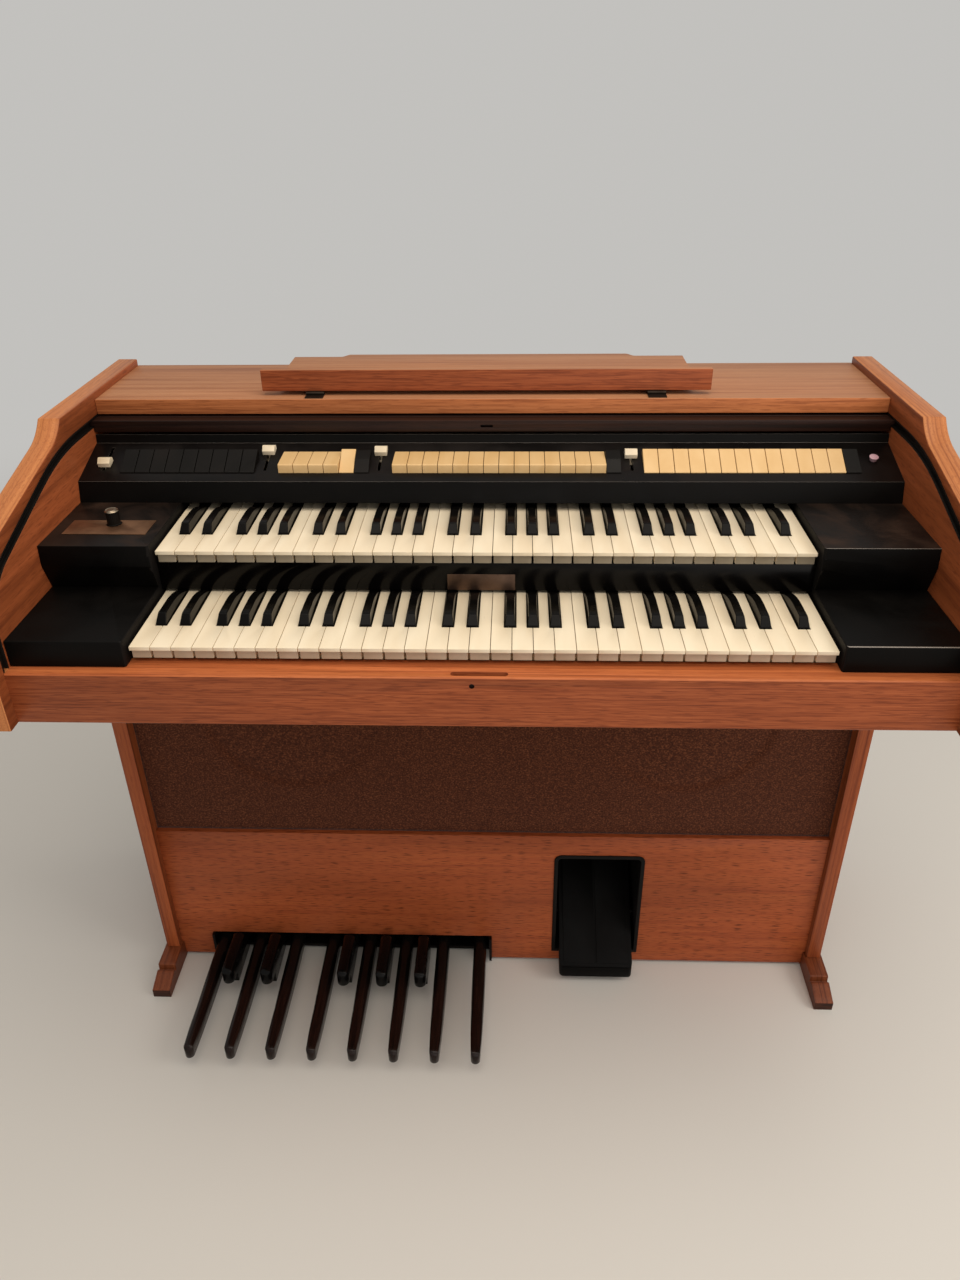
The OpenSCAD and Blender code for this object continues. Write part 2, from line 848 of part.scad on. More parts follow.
// Control panel: a folded sheet with a front fascia, a slope and an upright back strip
module panel_profile() {
    t = sheet_t;
    polygon([[fascia_y, upper_block_z], [fascia_top_y, fascia_top_z], [panel_y, panel_z],
        [panel_y + 2, riser_z], [panel_y + 2 + t, riser_z],
        [panel_y + 2 + t, panel_z - t * cos(panel_angle)],
        [fascia_top_y + t, fascia_top_z - t], [fascia_y + t, upper_block_z]]);
}

// Places children on the slope: x along the case, y up the slope from its lower edge, z out of it
module on_slope(x, s) {
    translate([x, panel_y, panel_z])
        rotate([panel_angle, 0, 0])
            translate([0, -s, 0])
                children();
}

// Rows of tabs across the panel, with a slider in each space: tabs in each row, and where each row starts
row_tabs = [9, 6, 15, 14];
row_spaces = [left_space, first_space, second_space, third_space];
tab_count = row_tabs[0] + row_tabs[1] + row_tabs[2] + row_tabs[3];
tab_pitch = (2 * in_x - left_space - first_space - second_space - third_space - right_space) / tab_count;
function row_x(i) = i < 0 ? -in_x : row_x(i - 1) + (i > 0 ? row_tabs[i - 1] * tab_pitch : 0) + row_spaces[i];
function tabs_before(i) = i == 0 ? 0 : tabs_before(i - 1) + row_tabs[i - 1];

// Slots of the sliders: middle of the case to slot, top end of the slots, and where each slider stands
slider_x = [for (i = [0:3]) row_x(i) - row_spaces[i] / 2 + [1.8, -2.9, -2.7, -0.3][i]];
slider_s = [46, 20, 22, 28];
slot_s = 10;

module control_panel() {
    color("#15120f")
        difference() {
            along_x(-in_x, in_x)
                panel_profile();
            for (x = slider_x)
                on_slope(x - cap_slot / 2, slot_s + cap_slot_l)
                    translate([0, 0, -sheet_t - 2])
                        cube([cap_slot, cap_slot_l, sheet_t + 4]);
        }
}

// Side outlines of a tab, its lower edge at 0: its rear stands up when off, its front when on
tab_off = [[0, 0], [0, 1], [0.8, 1.7], [tab_l - 7, tab_low], [tab_l - 5.6, tab_low - 0.8], [tab_l - 5, 0]];
tab_on = [[0, 0], [1.6, tab_high * 0.6], [3, tab_high * 0.93], [4.2, tab_high], [5.4, tab_high * 0.98],
    [tab_l - 0.5, 0.8], [tab_l - 0.5, 0]];
tab_rocker = [[0, 0], [0, 1], [0.8, 1.7], [tab_l * 0.42, rocker_high], [tab_l * 0.46, rocker_high + 0.3],
    [tab_l - 7, tab_low - 1.2], [tab_l - 5.6, tab_low - 2], [tab_l - 5, 0]];

// Tabs from the first to the last of a row
module tabs(row, first, last, outline) {
    for (i = [first:last])
        on_slope(row_x(row) + i * tab_pitch, tab_top + tab_l)
            along_x(tab_gap / 2, tab_pitch - tab_gap / 2)
                polygon(outline);
}

module cream_tabs() {
    color("wheat") {
        tabs(1, 0, row_tabs[1] - 3, tab_on);
        tabs(1, row_tabs[1] - 2, row_tabs[1] - 2, tab_off);
        tabs(2, 0, row_tabs[2] - 2, tab_on);
        tabs(3, 0, row_tabs[3] - 2, tab_off);
    }
}

module black_tabs() {
    color("#201c1a") {
        tabs(0, 0, row_tabs[0] - 1, tab_off);
        tabs(1, row_tabs[1] - 1, row_tabs[1] - 1, tab_rocker);
        tabs(2, row_tabs[2] - 1, row_tabs[2] - 1, tab_rocker);
        tabs(3, row_tabs[3] - 1, row_tabs[3] - 1, tab_off);
    }
}

// Slider: a ridged cap on a flat stem through the slot, with a foot under the panel
module slider(i) {
    color("antiquewhite")
        on_slope(slider_x[i], slider_s[i]) {
            translate([0, -cap_l / 2, stem_gap])
                along_x(-cap_w / 2, cap_w / 2)
                    polygon([[0, 0], [0, cap_h - 4], [cap_l / 2 - 1, cap_h], [cap_l / 2 + 1, cap_h],
                        [cap_l, cap_h - 4], [cap_l, 0]]);
            translate([-cap_slot / 2 + stem_gap, -stem_l / 2, -sheet_t - 6])
                cube([cap_slot - 2 * stem_gap, stem_l, sheet_t + 8]);
            translate([-5, -6, -sheet_t - 7])
                cube([10, 12, 2]);
        }
}

module slider_1() { slider(0); }
module slider_2() { slider(1); }
module slider_3() { slider(2); }
module slider_4() { slider(3); }

module pilot_lamp() {
    color("pink")
        on_slope(in_x - right_space * 0.6, 38)
            cylinder(h = lamp_h, r1 = lamp_r * 0.7, r2 = lamp_r);
}

// Plate and volume knob on the upper left block
plate_x = [-in_x + plate_out, -block_x - plate_in];
knob_x = plate_x[0] + (plate_x[1] - plate_x[0]) * 0.524;
knob_y = upper_y + 53.5;

module knob_plate() {
    y = upper_y + 23;
    color("#7a5a44")
        difference() {
            block([plate_x[0], y, upper_block_z], [plate_x[1], y + plate_d, upper_block_z + plate_t]);
            translate([knob_x, knob_y, upper_block_z - cut])
                cylinder(h = plate_t + 2 * cut, r = knob_r + 1);
        }
}

module volume_knob() {
    color("#1c1918")
        translate([knob_x, knob_y, upper_block_z + 0.4]) {
            cylinder(h = knob_h - 4, r1 = knob_r, r2 = knob_r - 1);
            translate([0, 0, knob_h - 4])
                cylinder(h = 4, r = knob_r);
        }
}

module nameplate() {
    z = key_z + name_gap + 1;
    color("silver")
        block([-nameplate_w / 2 - 2, name_y - plate_t, z], [nameplate_w / 2 - 2, name_y, z + nameplate_h]);
}

// Music desk, folded flat on the lid
desk_x = -3;
desk_y = lid_y + desk_set;
desk_d = lid_d - desk_set - ledge_t - crest_d - desk_back;
desk_z = lid_z + lid_t + desk_gap;
hinge_y = desk_y + 1;
hinge_z = lid_z + lid_t + desk_gap / 2;

// Outline of the panel: ogee shoulders rise to a crest between square ends
module desk_outline() {
    r = crest_d / 2;
    y0 = desk_y + ledge_t;
    y1 = y0 + desk_d;
    half = desk_w / 2;
    crest = crest_w / 2;
    right = concat([[half, y0], [half, y1], [crest + 2 * r, y1]],
        [for (a = [10:20:170]) [crest + r * 2 * (1 - a / 180), y1 + r * (1 - cos(a))]],
        [[crest, y1 + crest_d]]);
    n = len(right);
    polygon(concat(right, [for (i = [n - 1:-1:0]) [-right[i][0], right[i][1]]]));
}

module desk_panel() {
    color("sandybrown")
        translate([desk_x, 0, desk_z])
            linear_extrude(desk_t)
                desk_outline();
}

module desk_ledge() {
    color("sienna")
        block([desk_x - ledge_w / 2, desk_y, desk_z],
            [desk_x + ledge_w / 2, desk_y + ledge_t, desk_z + ledge_h]);
}

// Fixed halves of the desk's hinges, with a rest stud behind each
module desk_hinges() {
    top = lid_z + lid_t;
    color("silver")
        for (s = [-1, 1])
            translate([desk_x + s * hinge_x - hinge_w / 2, 0, 0]) {
                block([0, hinge_y - desk_set * 0.9, top], [hinge_w, hinge_y, top + leaf_t]);
                translate([0, hinge_y, hinge_z])
                    rotate([0, 90, 0])
                        cylinder(h = hinge_w, r = hinge_r);
                translate([hinge_w / 2, desk_y + ledge_t + desk_d - 15, top])
                    cylinder(h = desk_gap - stud_gap, r = stud_r);
            }
}

// Moving leaves of the desk's hinges, under the ledge and the panel
module desk_leaves() {
    color("silver")
        for (s = [-1, 1])
            block([desk_x + s * hinge_x - hinge_w / 2, hinge_y + hinge_r + leaf_t, desk_z - leaf_t],
                [desk_x + s * hinge_x + hinge_w / 2, hinge_y + hinge_r + leaf_t + leaf_l, desk_z]);
}

// Rod of radius r along X from x0 to x1, at p in Y and Z
module rod(p, r, x0, x1) {
    translate([x0, p[0], p[1]])
        rotate([0, 90, 0])
            cylinder(h = x1 - x0, r = r);
}

// Box of the swell shoe with its lining in the kickboard's opening, and the pin that the shoe tilts on
module swell_box() {
    y0 = kick_y - lining_out;
    y1 = kick_y + kick_t;
    color("#15120f") {
        difference() {
            union() {
                swell_opening(0, y0, lining_out + kick_t + cut);
                swell_opening(box_t, y1, swell_d);
            }
            swell_opening(-lining_t, y0 - cut, lining_out + kick_t + swell_d - box_t + cut);
        }
        rod(shoe_pivot, rod_r, swell_x, swell_x + swell_w);
    }
}

// Side outline of the shoe's skirts, from its heel at the origin, down round the pin and up to the toe
function skirt_outline() =
    let (
        along = [cos(shoe_slope), sin(shoe_slope)],
        normal = [-sin(shoe_slope), cos(shoe_slope)],
        pin = shoe_pivot - shoe_heel
    )
    [[0, -1], [1, 0.5], shoe_l * along, shoe_l * along - shoe_t * normal,
        pin + [rod_r + boss_t + 2, -rod_r], pin + [rod_r + boss_t / 2, -rod_r - boss_t],
        pin + [-rod_r, -rod_r - boss_t], [skirt_t * 3, -heel_h], [2, -heel_h]];

// Upright prism that rounds the corners of the shoe's heel
module heel_prism(left, right) {
    translate([0, 0, -2 * heel_h])
        linear_extrude(2 * heel_h + shoe_l) {
            translate([left, heel_r])
                square([right - left, shoe_l]);
            translate([left + heel_r, 0])
                square([right - left - 2 * heel_r, shoe_l]);
            for (x = [left + heel_r, right - heel_r])
                translate([x, heel_r])
                    circle(heel_r);
        }
}

// Swell shoe: a tread with a heel face, two pads with a seam between them, and a skirt at each side
module swell_shoe() {
    mid = swell_x + swell_w / 2;
    left = mid - shoe_w / 2;
    right = mid + shoe_w / 2;
    color("#1c1918")
        difference() {
            translate([0, shoe_heel[0], shoe_heel[1]])
                intersection() {
                    union() {
                        for (x = [left, right - skirt_t])
                            along_x(x, x + skirt_t)
                                polygon(skirt_outline());
                        rotate([shoe_slope, 0, 0]) {
                            block([left, 1, -shoe_t], [right, shoe_l, 0]);
                            for (x = [left + pad_in, mid + pad_gap / 2])
                                block([x, pad_in, -cut],
                                    [x + shoe_w / 2 - pad_in - pad_gap / 2, shoe_l - pad_in, pad_t]);
                        }
                        block([left, 0.5, -heel_h], [right, heel_wall, -1]);
                    }
                    heel_prism(left, right);
                }
            rod(shoe_pivot, rod_r + rod_gap, left - cut, right + cut);
        }
}

// Pedals

// Bar of width w from y0 to y1 and z0 to z1, with rounded upper edges and a round nose of width tip
// that rolls down with radius roll; the bar has its full width a distance run behind the nose
module round_bar(x, w, y0, y1, z0, z1, r, roll, tip, run) {
    intersection() {
        translate([x, 0, z0])
            linear_extrude(z1 - z0) {
                translate([0, y0 + tip / 2])
                    circle(tip / 2);
                polygon([[-w / 2, y1], [-w / 2, y0 + run], [-tip / 2, y0 + tip / 2],
                    [tip / 2, y0 + tip / 2], [w / 2, y0 + run], [w / 2, y1]]);
            }
        translate([x, y1, 0])
            rotate([90, 0, 0])
                linear_extrude(y1 - y0) {
                    translate([-w / 2, z0])
                        square([w, z1 - z0 - r]);
                    translate([-w / 2 + r, z0])
                        square([w - 2 * r, z1 - z0]);
                    for (s = [-1, 1])
                        translate([s * (w / 2 - r), z1 - r])
                            circle(r);
                }
        along_x(x - w, x + w)
            polygon(concat(
                [[y1, z0], [y1, z1]],
                arc([y0 + roll, z1 - roll], roll, 90, 180, 5),
                [[y0, z0]]
            ));
    }
}

module pivot_bore(x) {
    rod([rod_y, rod_z], rod_r + rod_gap, x - pedal_w, x + pedal_w);
}

module natural_pedal(i) {
    x = pedal_first_x + i * pedal_pitch;
    color("#33201a")
        difference() {
            round_bar(x, pedal_w, pedal_y, pedal_back_y, pedal_z - pedal_t, pedal_z, 9, 12,
                pedal_tip, pedal_run);
            pivot_bore(x);
        }
}

// Sharp pedal: a bar that starts under a raised block
module sharp_pedal(i) {
    x = pedal_first_x + (i + 0.5) * pedal_pitch;
    y = pedal_y + pedal_sharp_set;
    top = pedal_z + pedal_rise;
    color("#0f0d0c") {
        difference() {
            block([x - pedal_sharp_w / 2, y + 24, pedal_z - pedal_t],
                [x + pedal_sharp_w / 2, pedal_back_y, pedal_z]);
            pivot_bore(x);
        }
        round_bar(x, pedal_sharp_w, y, y + pedal_block_l, pedal_z - 0.5, top, 8, 12,
            pedal_sharp_w, pedal_sharp_w / 2);
    }
}

module pedal_c() { natural_pedal(0); }
module pedal_c_sharp() { sharp_pedal(0); }
module pedal_d() { natural_pedal(1); }
module pedal_d_sharp() { sharp_pedal(1); }
module pedal_e() { natural_pedal(2); }
module pedal_f() { natural_pedal(3); }
module pedal_f_sharp() { sharp_pedal(3); }
module pedal_g() { natural_pedal(4); }
module pedal_g_sharp() { sharp_pedal(4); }
module pedal_a() { natural_pedal(5); }
module pedal_a_sharp() { sharp_pedal(5); }
module pedal_b() { natural_pedal(6); }
module pedal_top_c() { natural_pedal(7); }

// Frame behind the kickboard: two cheeks, a base and the rails that stop the pedals
module pedal_frame() {
    y0 = kick_y - 8;
    y1 = kick_y + kick_t;
    y2 = panel_back_y;
    color("#15120f")
        difference() {
            union() {
                for (x = [frame_out[0], frame_in[1]]) {
                    block([x, y0, kick_gap], [x + frame_t, y2, pedal_z + pedal_cut_gap]);
                    block([x, y1, kick_gap], [x + frame_t, y2, frame_h]);
                }
                block([frame_out[0], y1, kick_gap], [frame_out[1], y2, kick_gap + 6]);
                block([frame_out[0], y1 + 4, pedal_z + frame_gap], [frame_out[1], y1 + 24, frame_h]);
            }
            rod([rod_y, rod_z], rod_r + rod_gap, frame_out[0] - cut, frame_out[1] + cut);
        }
}

module pedal_rod() {
    color("silver")
        rod([rod_y, rod_z], rod_r, frame_out[0], frame_out[1]);
}

left_cheek();
right_cheek();
left_track();
right_track();
lid();
key_bed();
upper_back();
roll_top();
left_leg();
right_leg();
left_foot();
right_foot();
lower_back();
keyslip();
speaker_board();
speaker_cloth();
kickboard();
lower_left_block();
lower_right_block();
upper_left_block();
upper_right_block();
lower_key_frame();
upper_key_frame();
lower_naturals();
lower_sharps();
upper_naturals();
upper_sharps();
nameboard();
control_panel();
cream_tabs();
black_tabs();
slider_1();
slider_2();
slider_3();
slider_4();
pilot_lamp();
volume_knob();
knob_plate();
nameplate();
desk_panel();
desk_ledge();
desk_leaves();
desk_hinges();
swell_box();
swell_shoe();
pedal_frame();
pedal_rod();
pedal_c();
pedal_c_sharp();
pedal_d();
pedal_d_sharp();
pedal_e();
pedal_f();
pedal_f_sharp();
pedal_g();
pedal_g_sharp();
pedal_a();
pedal_a_sharp();
pedal_b();
pedal_top_c();
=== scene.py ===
# %% [markdown]
# Home electronic organ console: two manuals, a roll-top case in wood veneer, a panel of stop
# tabs, a swell shoe and thirteen pedals. The solids come from the CAD model as a fixed frame.
# This script gives them their finishes, and makes finer pieces where the solid is too plain.
# Lengths are in metres, and one that is written in millimetres is multiplied by MM or says so.

# %% Load the frame
import json
import math

import bmesh
import bpy
from mathutils import Matrix, Vector

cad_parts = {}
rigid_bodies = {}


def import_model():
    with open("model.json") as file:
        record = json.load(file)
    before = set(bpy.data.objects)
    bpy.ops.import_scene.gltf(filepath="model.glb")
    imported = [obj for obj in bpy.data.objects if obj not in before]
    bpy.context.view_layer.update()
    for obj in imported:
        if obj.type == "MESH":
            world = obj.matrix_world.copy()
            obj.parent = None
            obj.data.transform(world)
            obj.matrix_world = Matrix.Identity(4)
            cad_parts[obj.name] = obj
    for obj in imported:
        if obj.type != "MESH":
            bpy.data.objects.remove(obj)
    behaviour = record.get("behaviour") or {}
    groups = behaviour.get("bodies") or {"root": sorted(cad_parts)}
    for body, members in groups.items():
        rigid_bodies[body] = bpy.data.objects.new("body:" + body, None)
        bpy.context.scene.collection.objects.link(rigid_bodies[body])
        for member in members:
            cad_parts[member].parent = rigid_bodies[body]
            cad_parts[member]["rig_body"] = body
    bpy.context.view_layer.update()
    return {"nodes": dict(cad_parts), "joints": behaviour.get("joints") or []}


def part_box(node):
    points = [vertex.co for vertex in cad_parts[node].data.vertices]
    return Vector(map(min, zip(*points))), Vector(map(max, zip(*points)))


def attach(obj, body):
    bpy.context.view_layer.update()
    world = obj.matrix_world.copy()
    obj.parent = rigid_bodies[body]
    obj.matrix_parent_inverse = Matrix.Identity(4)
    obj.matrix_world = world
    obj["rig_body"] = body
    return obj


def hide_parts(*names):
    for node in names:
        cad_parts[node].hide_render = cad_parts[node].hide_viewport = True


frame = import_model()
nodes = frame["nodes"]
MM = 0.001

# %% [markdown]
# The photograph was taken by someone who stood in front of the organ and looked down at it.
# The camera could be placed by eye, but here it was worked out from the key pitch and the
# case's straight edges, so it is written as a point, three small turns and a focal length.

# %% Camera
eye = Vector((0.03783, -1.15728, 1.31612))
turn_left, look_down, tilt = -0.041022, 0.533770, -0.014523
focal_length = 27.265
ahead = Vector((math.sin(turn_left) * math.cos(look_down),
                math.cos(turn_left) * math.cos(look_down), -math.sin(look_down)))
level = Vector((math.cos(turn_left), -math.sin(turn_left), 0))
upright = level.cross(ahead)
right = level * math.cos(tilt) + upright * math.sin(tilt)
up = upright * math.cos(tilt) - level * math.sin(tilt)
camera = bpy.data.objects.new("camera", bpy.data.cameras.new("camera"))
camera.matrix_world = Matrix.Translation(eye) @ Matrix((right, up, -ahead)).transposed().to_4x4()
camera.data.lens = focal_length
bpy.context.scene.collection.objects.link(camera)
bpy.context.scene.camera = camera
bpy.context.scene.view_settings.view_transform = "Standard"

# %% [markdown]
# Every finish below is a small tree of nodes. One function adds a node: its settings, and for
# each input either a value or the output of another node. Colours are written as the hex
# values that a paint chart gives, and one function turns them to the linear numbers that
# Blender mixes.


# %% Helpers for finishes
def colour(code):
    """Linear colour of an sRGB hex value."""
    parts = [int(code[i:i + 2], 16) / 255 for i in (1, 3, 5)]
    linear = [c / 12.92 if c <= 0.04045 else ((c + 0.055) / 1.055) ** 2.4 for c in parts]
    return (*linear, 1)


def add(tree, kind, inputs=None, **settings):
    """One node with its settings, and its inputs set to values or linked to outputs."""
    node = tree.nodes.new(kind)
    for name, value in settings.items():
        setattr(node, name, value)
    for socket, value in (inputs or {}).items():
        if isinstance(value, bpy.types.NodeSocket):
            tree.links.new(value, node.inputs[socket])
        else:
            node.inputs[socket].default_value = value
    return node


def ramp(tree, fac, *stops):
    """Colour ramp over pairs of a place and a hex value."""
    node = add(tree, "ShaderNodeValToRGB", {"Fac": fac})
    while len(node.color_ramp.elements) < len(stops):
        node.color_ramp.elements.new(0.5)
    for element, (place, code) in zip(node.color_ramp.elements, stops):
        element.position = place
        element.color = colour(code)
    return node.outputs["Color"]


def finish(name, base, roughness, **inputs):
    """A material with its surface shader, and the Object coordinates for its patterns."""
    material = bpy.data.materials.new(name)
    material.use_nodes = True
    tree = material.node_tree
    tree.nodes.clear()
    surface = add(tree, "ShaderNodeBsdfPrincipled",
                  {"Base Color": colour(base), "Roughness": roughness})
    for socket, value in inputs.items():
        surface.inputs[socket.replace("_", " ")].default_value = value
    add(tree, "ShaderNodeOutputMaterial", {"Surface": surface.outputs[0]})
    place = add(tree, "ShaderNodeTexCoord").outputs["Object"]
    return material, tree, surface, place


def noise(tree, place, size, detail=2.0, seed=(0, 0, 0), **inputs):
    """Noise whose features are size long, in metres: one number, or one for each axis."""
    sizes = (size,) * 3 if isinstance(size, float) else size
    grid = add(tree, "ShaderNodeMapping", {"Vector": place, "Location": seed,
                                           "Scale": [1 / s for s in sizes]})
    return add(tree, "ShaderNodeTexNoise", {"Vector": grid.outputs[0], "Scale": 1.0,
                                            "Detail": detail, **inputs}).outputs["Fac"]


def link(tree, output, surface, socket):
    """Joins an output to one of the surface's inputs."""
    tree.links.new(output, surface.inputs[socket])


def bump(tree, surface, height, depth, strength=1.0):
    """Gives the surface a relief of that depth in metres."""
    relief = add(tree, "ShaderNodeBump", {"Height": height, "Distance": depth, "Strength": strength})
    link(tree, relief.outputs[0], surface, "Normal")


# %% [markdown]
# The case is chipboard covered with an open-pored red-brown veneer, and its edges have solid
# lipping of the same wood, all under satin lacquer. Wood reads as wood by two things at once:
# broad streaks that follow the grain, and short dark pores a millimetre or so wide. Both are
# noise stretched along the grain. Real pores are 0.2 mm wide: they are drawn 1.5 mm wide,
# because finer ones vanish at this distance. The tones tell the parts from each other: deep red
# on the faces, more orange on the edges, a pale tan on the lid, and a dark brown on the feet.
# Some tones are painted light and shade: the keyslip's paler top is painted light, and the
# darker lipping of the legs, the feet's dark brown and their darker toe are painted shade.


# %% Wood finishes
PORE_WIDTH, PORE_LENGTH, PORE_DEPTH = 0.0015, 0.020, 0.00012
CLOUD_WIDTH, CLOUD_LENGTH = 0.09, 0.5


def wood(name, grain, pale, middle, dark, streak=0.006, length=0.30, pores=0.5, gloss=0.42,
         turn=None, pits=None):
    """Lacquered wood whose grain runs along that axis, 0 for X, 1 for Y and 2 for Z.
    On a solid lipping the streaks follow the edge, so they vary only along the axis turn."""
    material, tree, surface, place = finish(name, middle, gloss, Specular_IOR_Level=0.22)
    streaks = [streak if turn in (None, axis) else length for axis in range(3)]
    streaks[grain] = length
    pore = [PORE_WIDTH] * 3
    pore[grain] = PORE_LENGTH
    cloud = [CLOUD_WIDTH] * 3
    cloud[grain] = CLOUD_LENGTH
    seed = (grain * 3.1, 1.7, len(name) * 0.37)
    figure = noise(tree, place, streaks, 3.0, seed, Distortion=0.4)
    body = ramp(tree, figure, (0.28, dark), (0.46, middle), (0.70, pale))
    clouds = noise(tree, place, cloud, 1.0, seed)
    shade = add(tree, "ShaderNodeMapRange", {"Value": clouds, "From Min": 0.3, "From Max": 0.7,
                                             "To Min": 0.88, "To Max": 1.1})
    dots = noise(tree, place, pore, 1.0, seed)
    holes = add(tree, "ShaderNodeMapRange", {"Value": dots, "From Min": 0.54, "From Max": 0.68,
                                             "To Min": 0.0, "To Max": pores})
    toned = add(tree, "ShaderNodeVectorMath", {0: body, 1: shade.outputs[0]}, operation="MULTIPLY")
    pitted = add(tree, "ShaderNodeMix", {"Factor": holes.outputs[0], "A": toned.outputs[0],
                                         "B": colour(pits or dark)}, data_type="RGBA")
    link(tree, pitted.outputs["Result"], surface, "Base Color")
    dull = add(tree, "ShaderNodeMapRange", {"Value": clouds, "To Min": gloss - 0.06,
                                            "To Max": gloss + 0.10})
    link(tree, dull.outputs[0], surface, "Roughness")
    height = add(tree, "ShaderNodeMath", {0: 1.0, 1: holes.outputs[0]}, operation="SUBTRACT")
    bump(tree, surface, height.outputs[0], PORE_DEPTH, 0.5)
    return material


# Three tones of each wood: pale, middle and dark
RED = ("#a9592f", "#944a28", "#6d2f17")
ROSY = ("#aa5830", "#a4522d", "#944728")
RUST = ("#a95b35", "#964c2a", "#76371d")
AMBER = ("#bf7547", "#b0683c", "#8f4f2c")
DEEP = ("#98502c", "#864524", "#632e18")
ORANGE = ("#c47f4c", "#b26e40", "#8a4d2b")
COPPER = ("#c26f3f", "#b06036", "#874323")
UMBER = ("#834629", "#71391f", "#4f2412")
BROWN = ("#48210f", "#3b1a0d", "#291208")
TAN = ("#b07d59", "#a4704e", "#8e5b3d")
veneer_x = wood("red_brown_veneer_along_x", 0, *ROSY, streak=0.010, length=0.30, pores=0.8,
                pits="#5f2913")
lipping_x = wood("solid_lipping_along_x", 0, *RUST, streak=0.0020, length=0.08, pores=0.7)
lipping_lid = wood("solid_lid_lipping_along_x", 0, *AMBER, streak=0.0024, length=0.1, pores=0.6)
# The keyslip's top: the same lipping painted paler, a painted light on the face that looks up.
lit_lipping_top_x = wood("solid_lipping_top_along_x", 0, *COPPER, streak=0.005, length=0.3, pores=0.4)
veneer_y = wood("red_brown_veneer_along_y", 1, *DEEP, streak=0.008, length=0.4)
lipping_y = wood("solid_lipping_along_y", 1, *ORANGE, streak=0.004, length=0.5, pores=0.4, turn=0)
# The feet's wood is painted dark brown and their blunt toe darker again: painted shade low by the floor.
foot_lipping_shade = wood("worn_foot_lipping_along_y", 1, *UMBER, streak=0.004, length=0.3, pores=0.5,
                    turn=0)
foot_end = wood("stained_foot_end_along_x", 0, *BROWN, streak=0.003, length=0.02, pores=0.6)
veneer_z = wood("red_brown_veneer_along_z", 2, *DEEP, streak=0.008, length=0.4)
# The legs' lipping is darker than the cheeks': a painted shade.
shaded_lipping_z = wood("solid_lipping_along_z", 2, *RED, streak=0.004, length=0.5, pores=0.4, turn=0)
top_veneer = wood("pale_top_veneer_along_x", 0, *TAN, streak=0.010, length=0.45, pores=0.3,
                  gloss=0.5)
print("wood finishes made")

# %% [markdown]
# The playing area is black: satin paint on the folded steel panel, textured vinyl on the end
# blocks, and moulded plastic for the black tabs and the knob. Black shows little colour, so
# the eye reads it by its gloss: dust and hand marks make soft patches that are duller and
# browner, and a fine grain breaks up the reflections. The board between the manuals is gloss
# laminate, which mirrors the keys, and the shoe is dull rubber. The narrow roundings of some
# long front edges are painted pale and shiny, a painted highlight, and the upper blocks' tops
# carry dust and a browner painted sheen.


# %% Black finishes
def black(name, base, gloss, grain, depth, dust="#1e1713", share=0.4, shine=0.14):
    """Dark satin surface with a grain of that size and depth, and soft dusty patches."""
    material, tree, surface, place = finish(name, base, gloss, Specular_IOR_Level=shine)
    patches = noise(tree, place, 0.07, 4.0, (2.2, 0.4, 1.1), Distortion=0.8)
    mask = add(tree, "ShaderNodeMapRange", {"Value": patches, "From Min": 0.45, "From Max": 0.75,
                                            "To Min": 0.0, "To Max": share})
    mixed = add(tree, "ShaderNodeMix", {"Factor": mask.outputs[0], "A": colour(base),
                                        "B": colour(dust)}, data_type="RGBA")
    link(tree, mixed.outputs["Result"], surface, "Base Color")
    dull = add(tree, "ShaderNodeMapRange", {"Value": patches, "From Min": 0.3, "From Max": 0.8,
                                            "To Min": gloss - 0.08, "To Max": gloss + 0.2})
    link(tree, dull.outputs[0], surface, "Roughness")
    bump(tree, surface, noise(tree, place, grain, 2.0), depth, 0.4)
    return material


panel_paint = black("satin_black_paint", "#0b0807", 0.32, 0.0012, 0.00003)
clean_vinyl = black("black_vinyl_on_board", "#060504", 0.45, 0.0016, 0.00008, dust="#0f0c0a",
                    shine=0.09)
# Upper blocks' tops: dust, and a browner painted sheen for the light they reflect.
dust_and_sheen_vinyl = black("dusty_black_vinyl_on_board", "#110c09", 0.42, 0.0016, 0.00008,
                    dust="#3a291f", share=0.7)
board_black = black("black_stained_board", "#0b0908", 0.60, 0.002, 0.0001)
black_abs = black("moulded_black_plastic", "#100e0c", 0.34, 0.0008, 0.00003, share=0.3, shine=0.10)
rubber = black("moulded_shoe_rubber", "#060505", 0.55, 0.0009, 0.00006, dust="#0e0c0b", shine=0.08)
# Pale, shiny narrow edge roundings: a painted highlight.
painted_highlight_edge = black("rubbed_black_edge", "#756c63", 0.25, 0.002, 0.00001, dust="#857b71", shine=0.8)
riser_laminate = black("gloss_black_laminate", "#040303", 0.16, 0.003, 0.00001, dust="#080605")
pedal_lacquer = black("black_pedal_lacquer", "#060505", 0.22, 0.003, 0.00002, dust="#0e0b0a")

# %% [markdown]
# The pedals are hardwood stained nearly black. Shoes have worn the playing ends of the
# naturals back to a dark brown. The stain's edge isn't sharp, so the two colours meet over
# some 20 mm, broken by noise.

# %% Pedal finish
pedal_stain, tree, surface, place = finish("worn_pedal_stain", "#160d0a", 0.26, Specular_IOR_Level=0.2)
along = add(tree, "ShaderNodeSeparateXYZ", {"Vector": place}).outputs["Y"]
ragged = noise(tree, place, (0.006, 0.03, 0.006), 3.0)
edge = add(tree, "ShaderNodeMath", {0: ragged, 1: 0.05, 2: along}, operation="MULTIPLY_ADD")
worn = add(tree, "ShaderNodeMapRange",
           {"Value": edge.outputs[0], "From Min": -0.10, "From Max": -0.06})
grain = noise(tree, place, (0.0025, 0.06, 0.0025), 2.0)
front = ramp(tree, grain, (0.35, "#120a08"), (0.65, "#20120e"))
both = add(tree, "ShaderNodeMix", {"Factor": worn.outputs[0], "A": front, "B": colour("#0c0a09")},
           data_type="RGBA")
link(tree, both.outputs["Result"], surface, "Base Color")
bump(tree, surface, grain, 0.0001, 0.3)
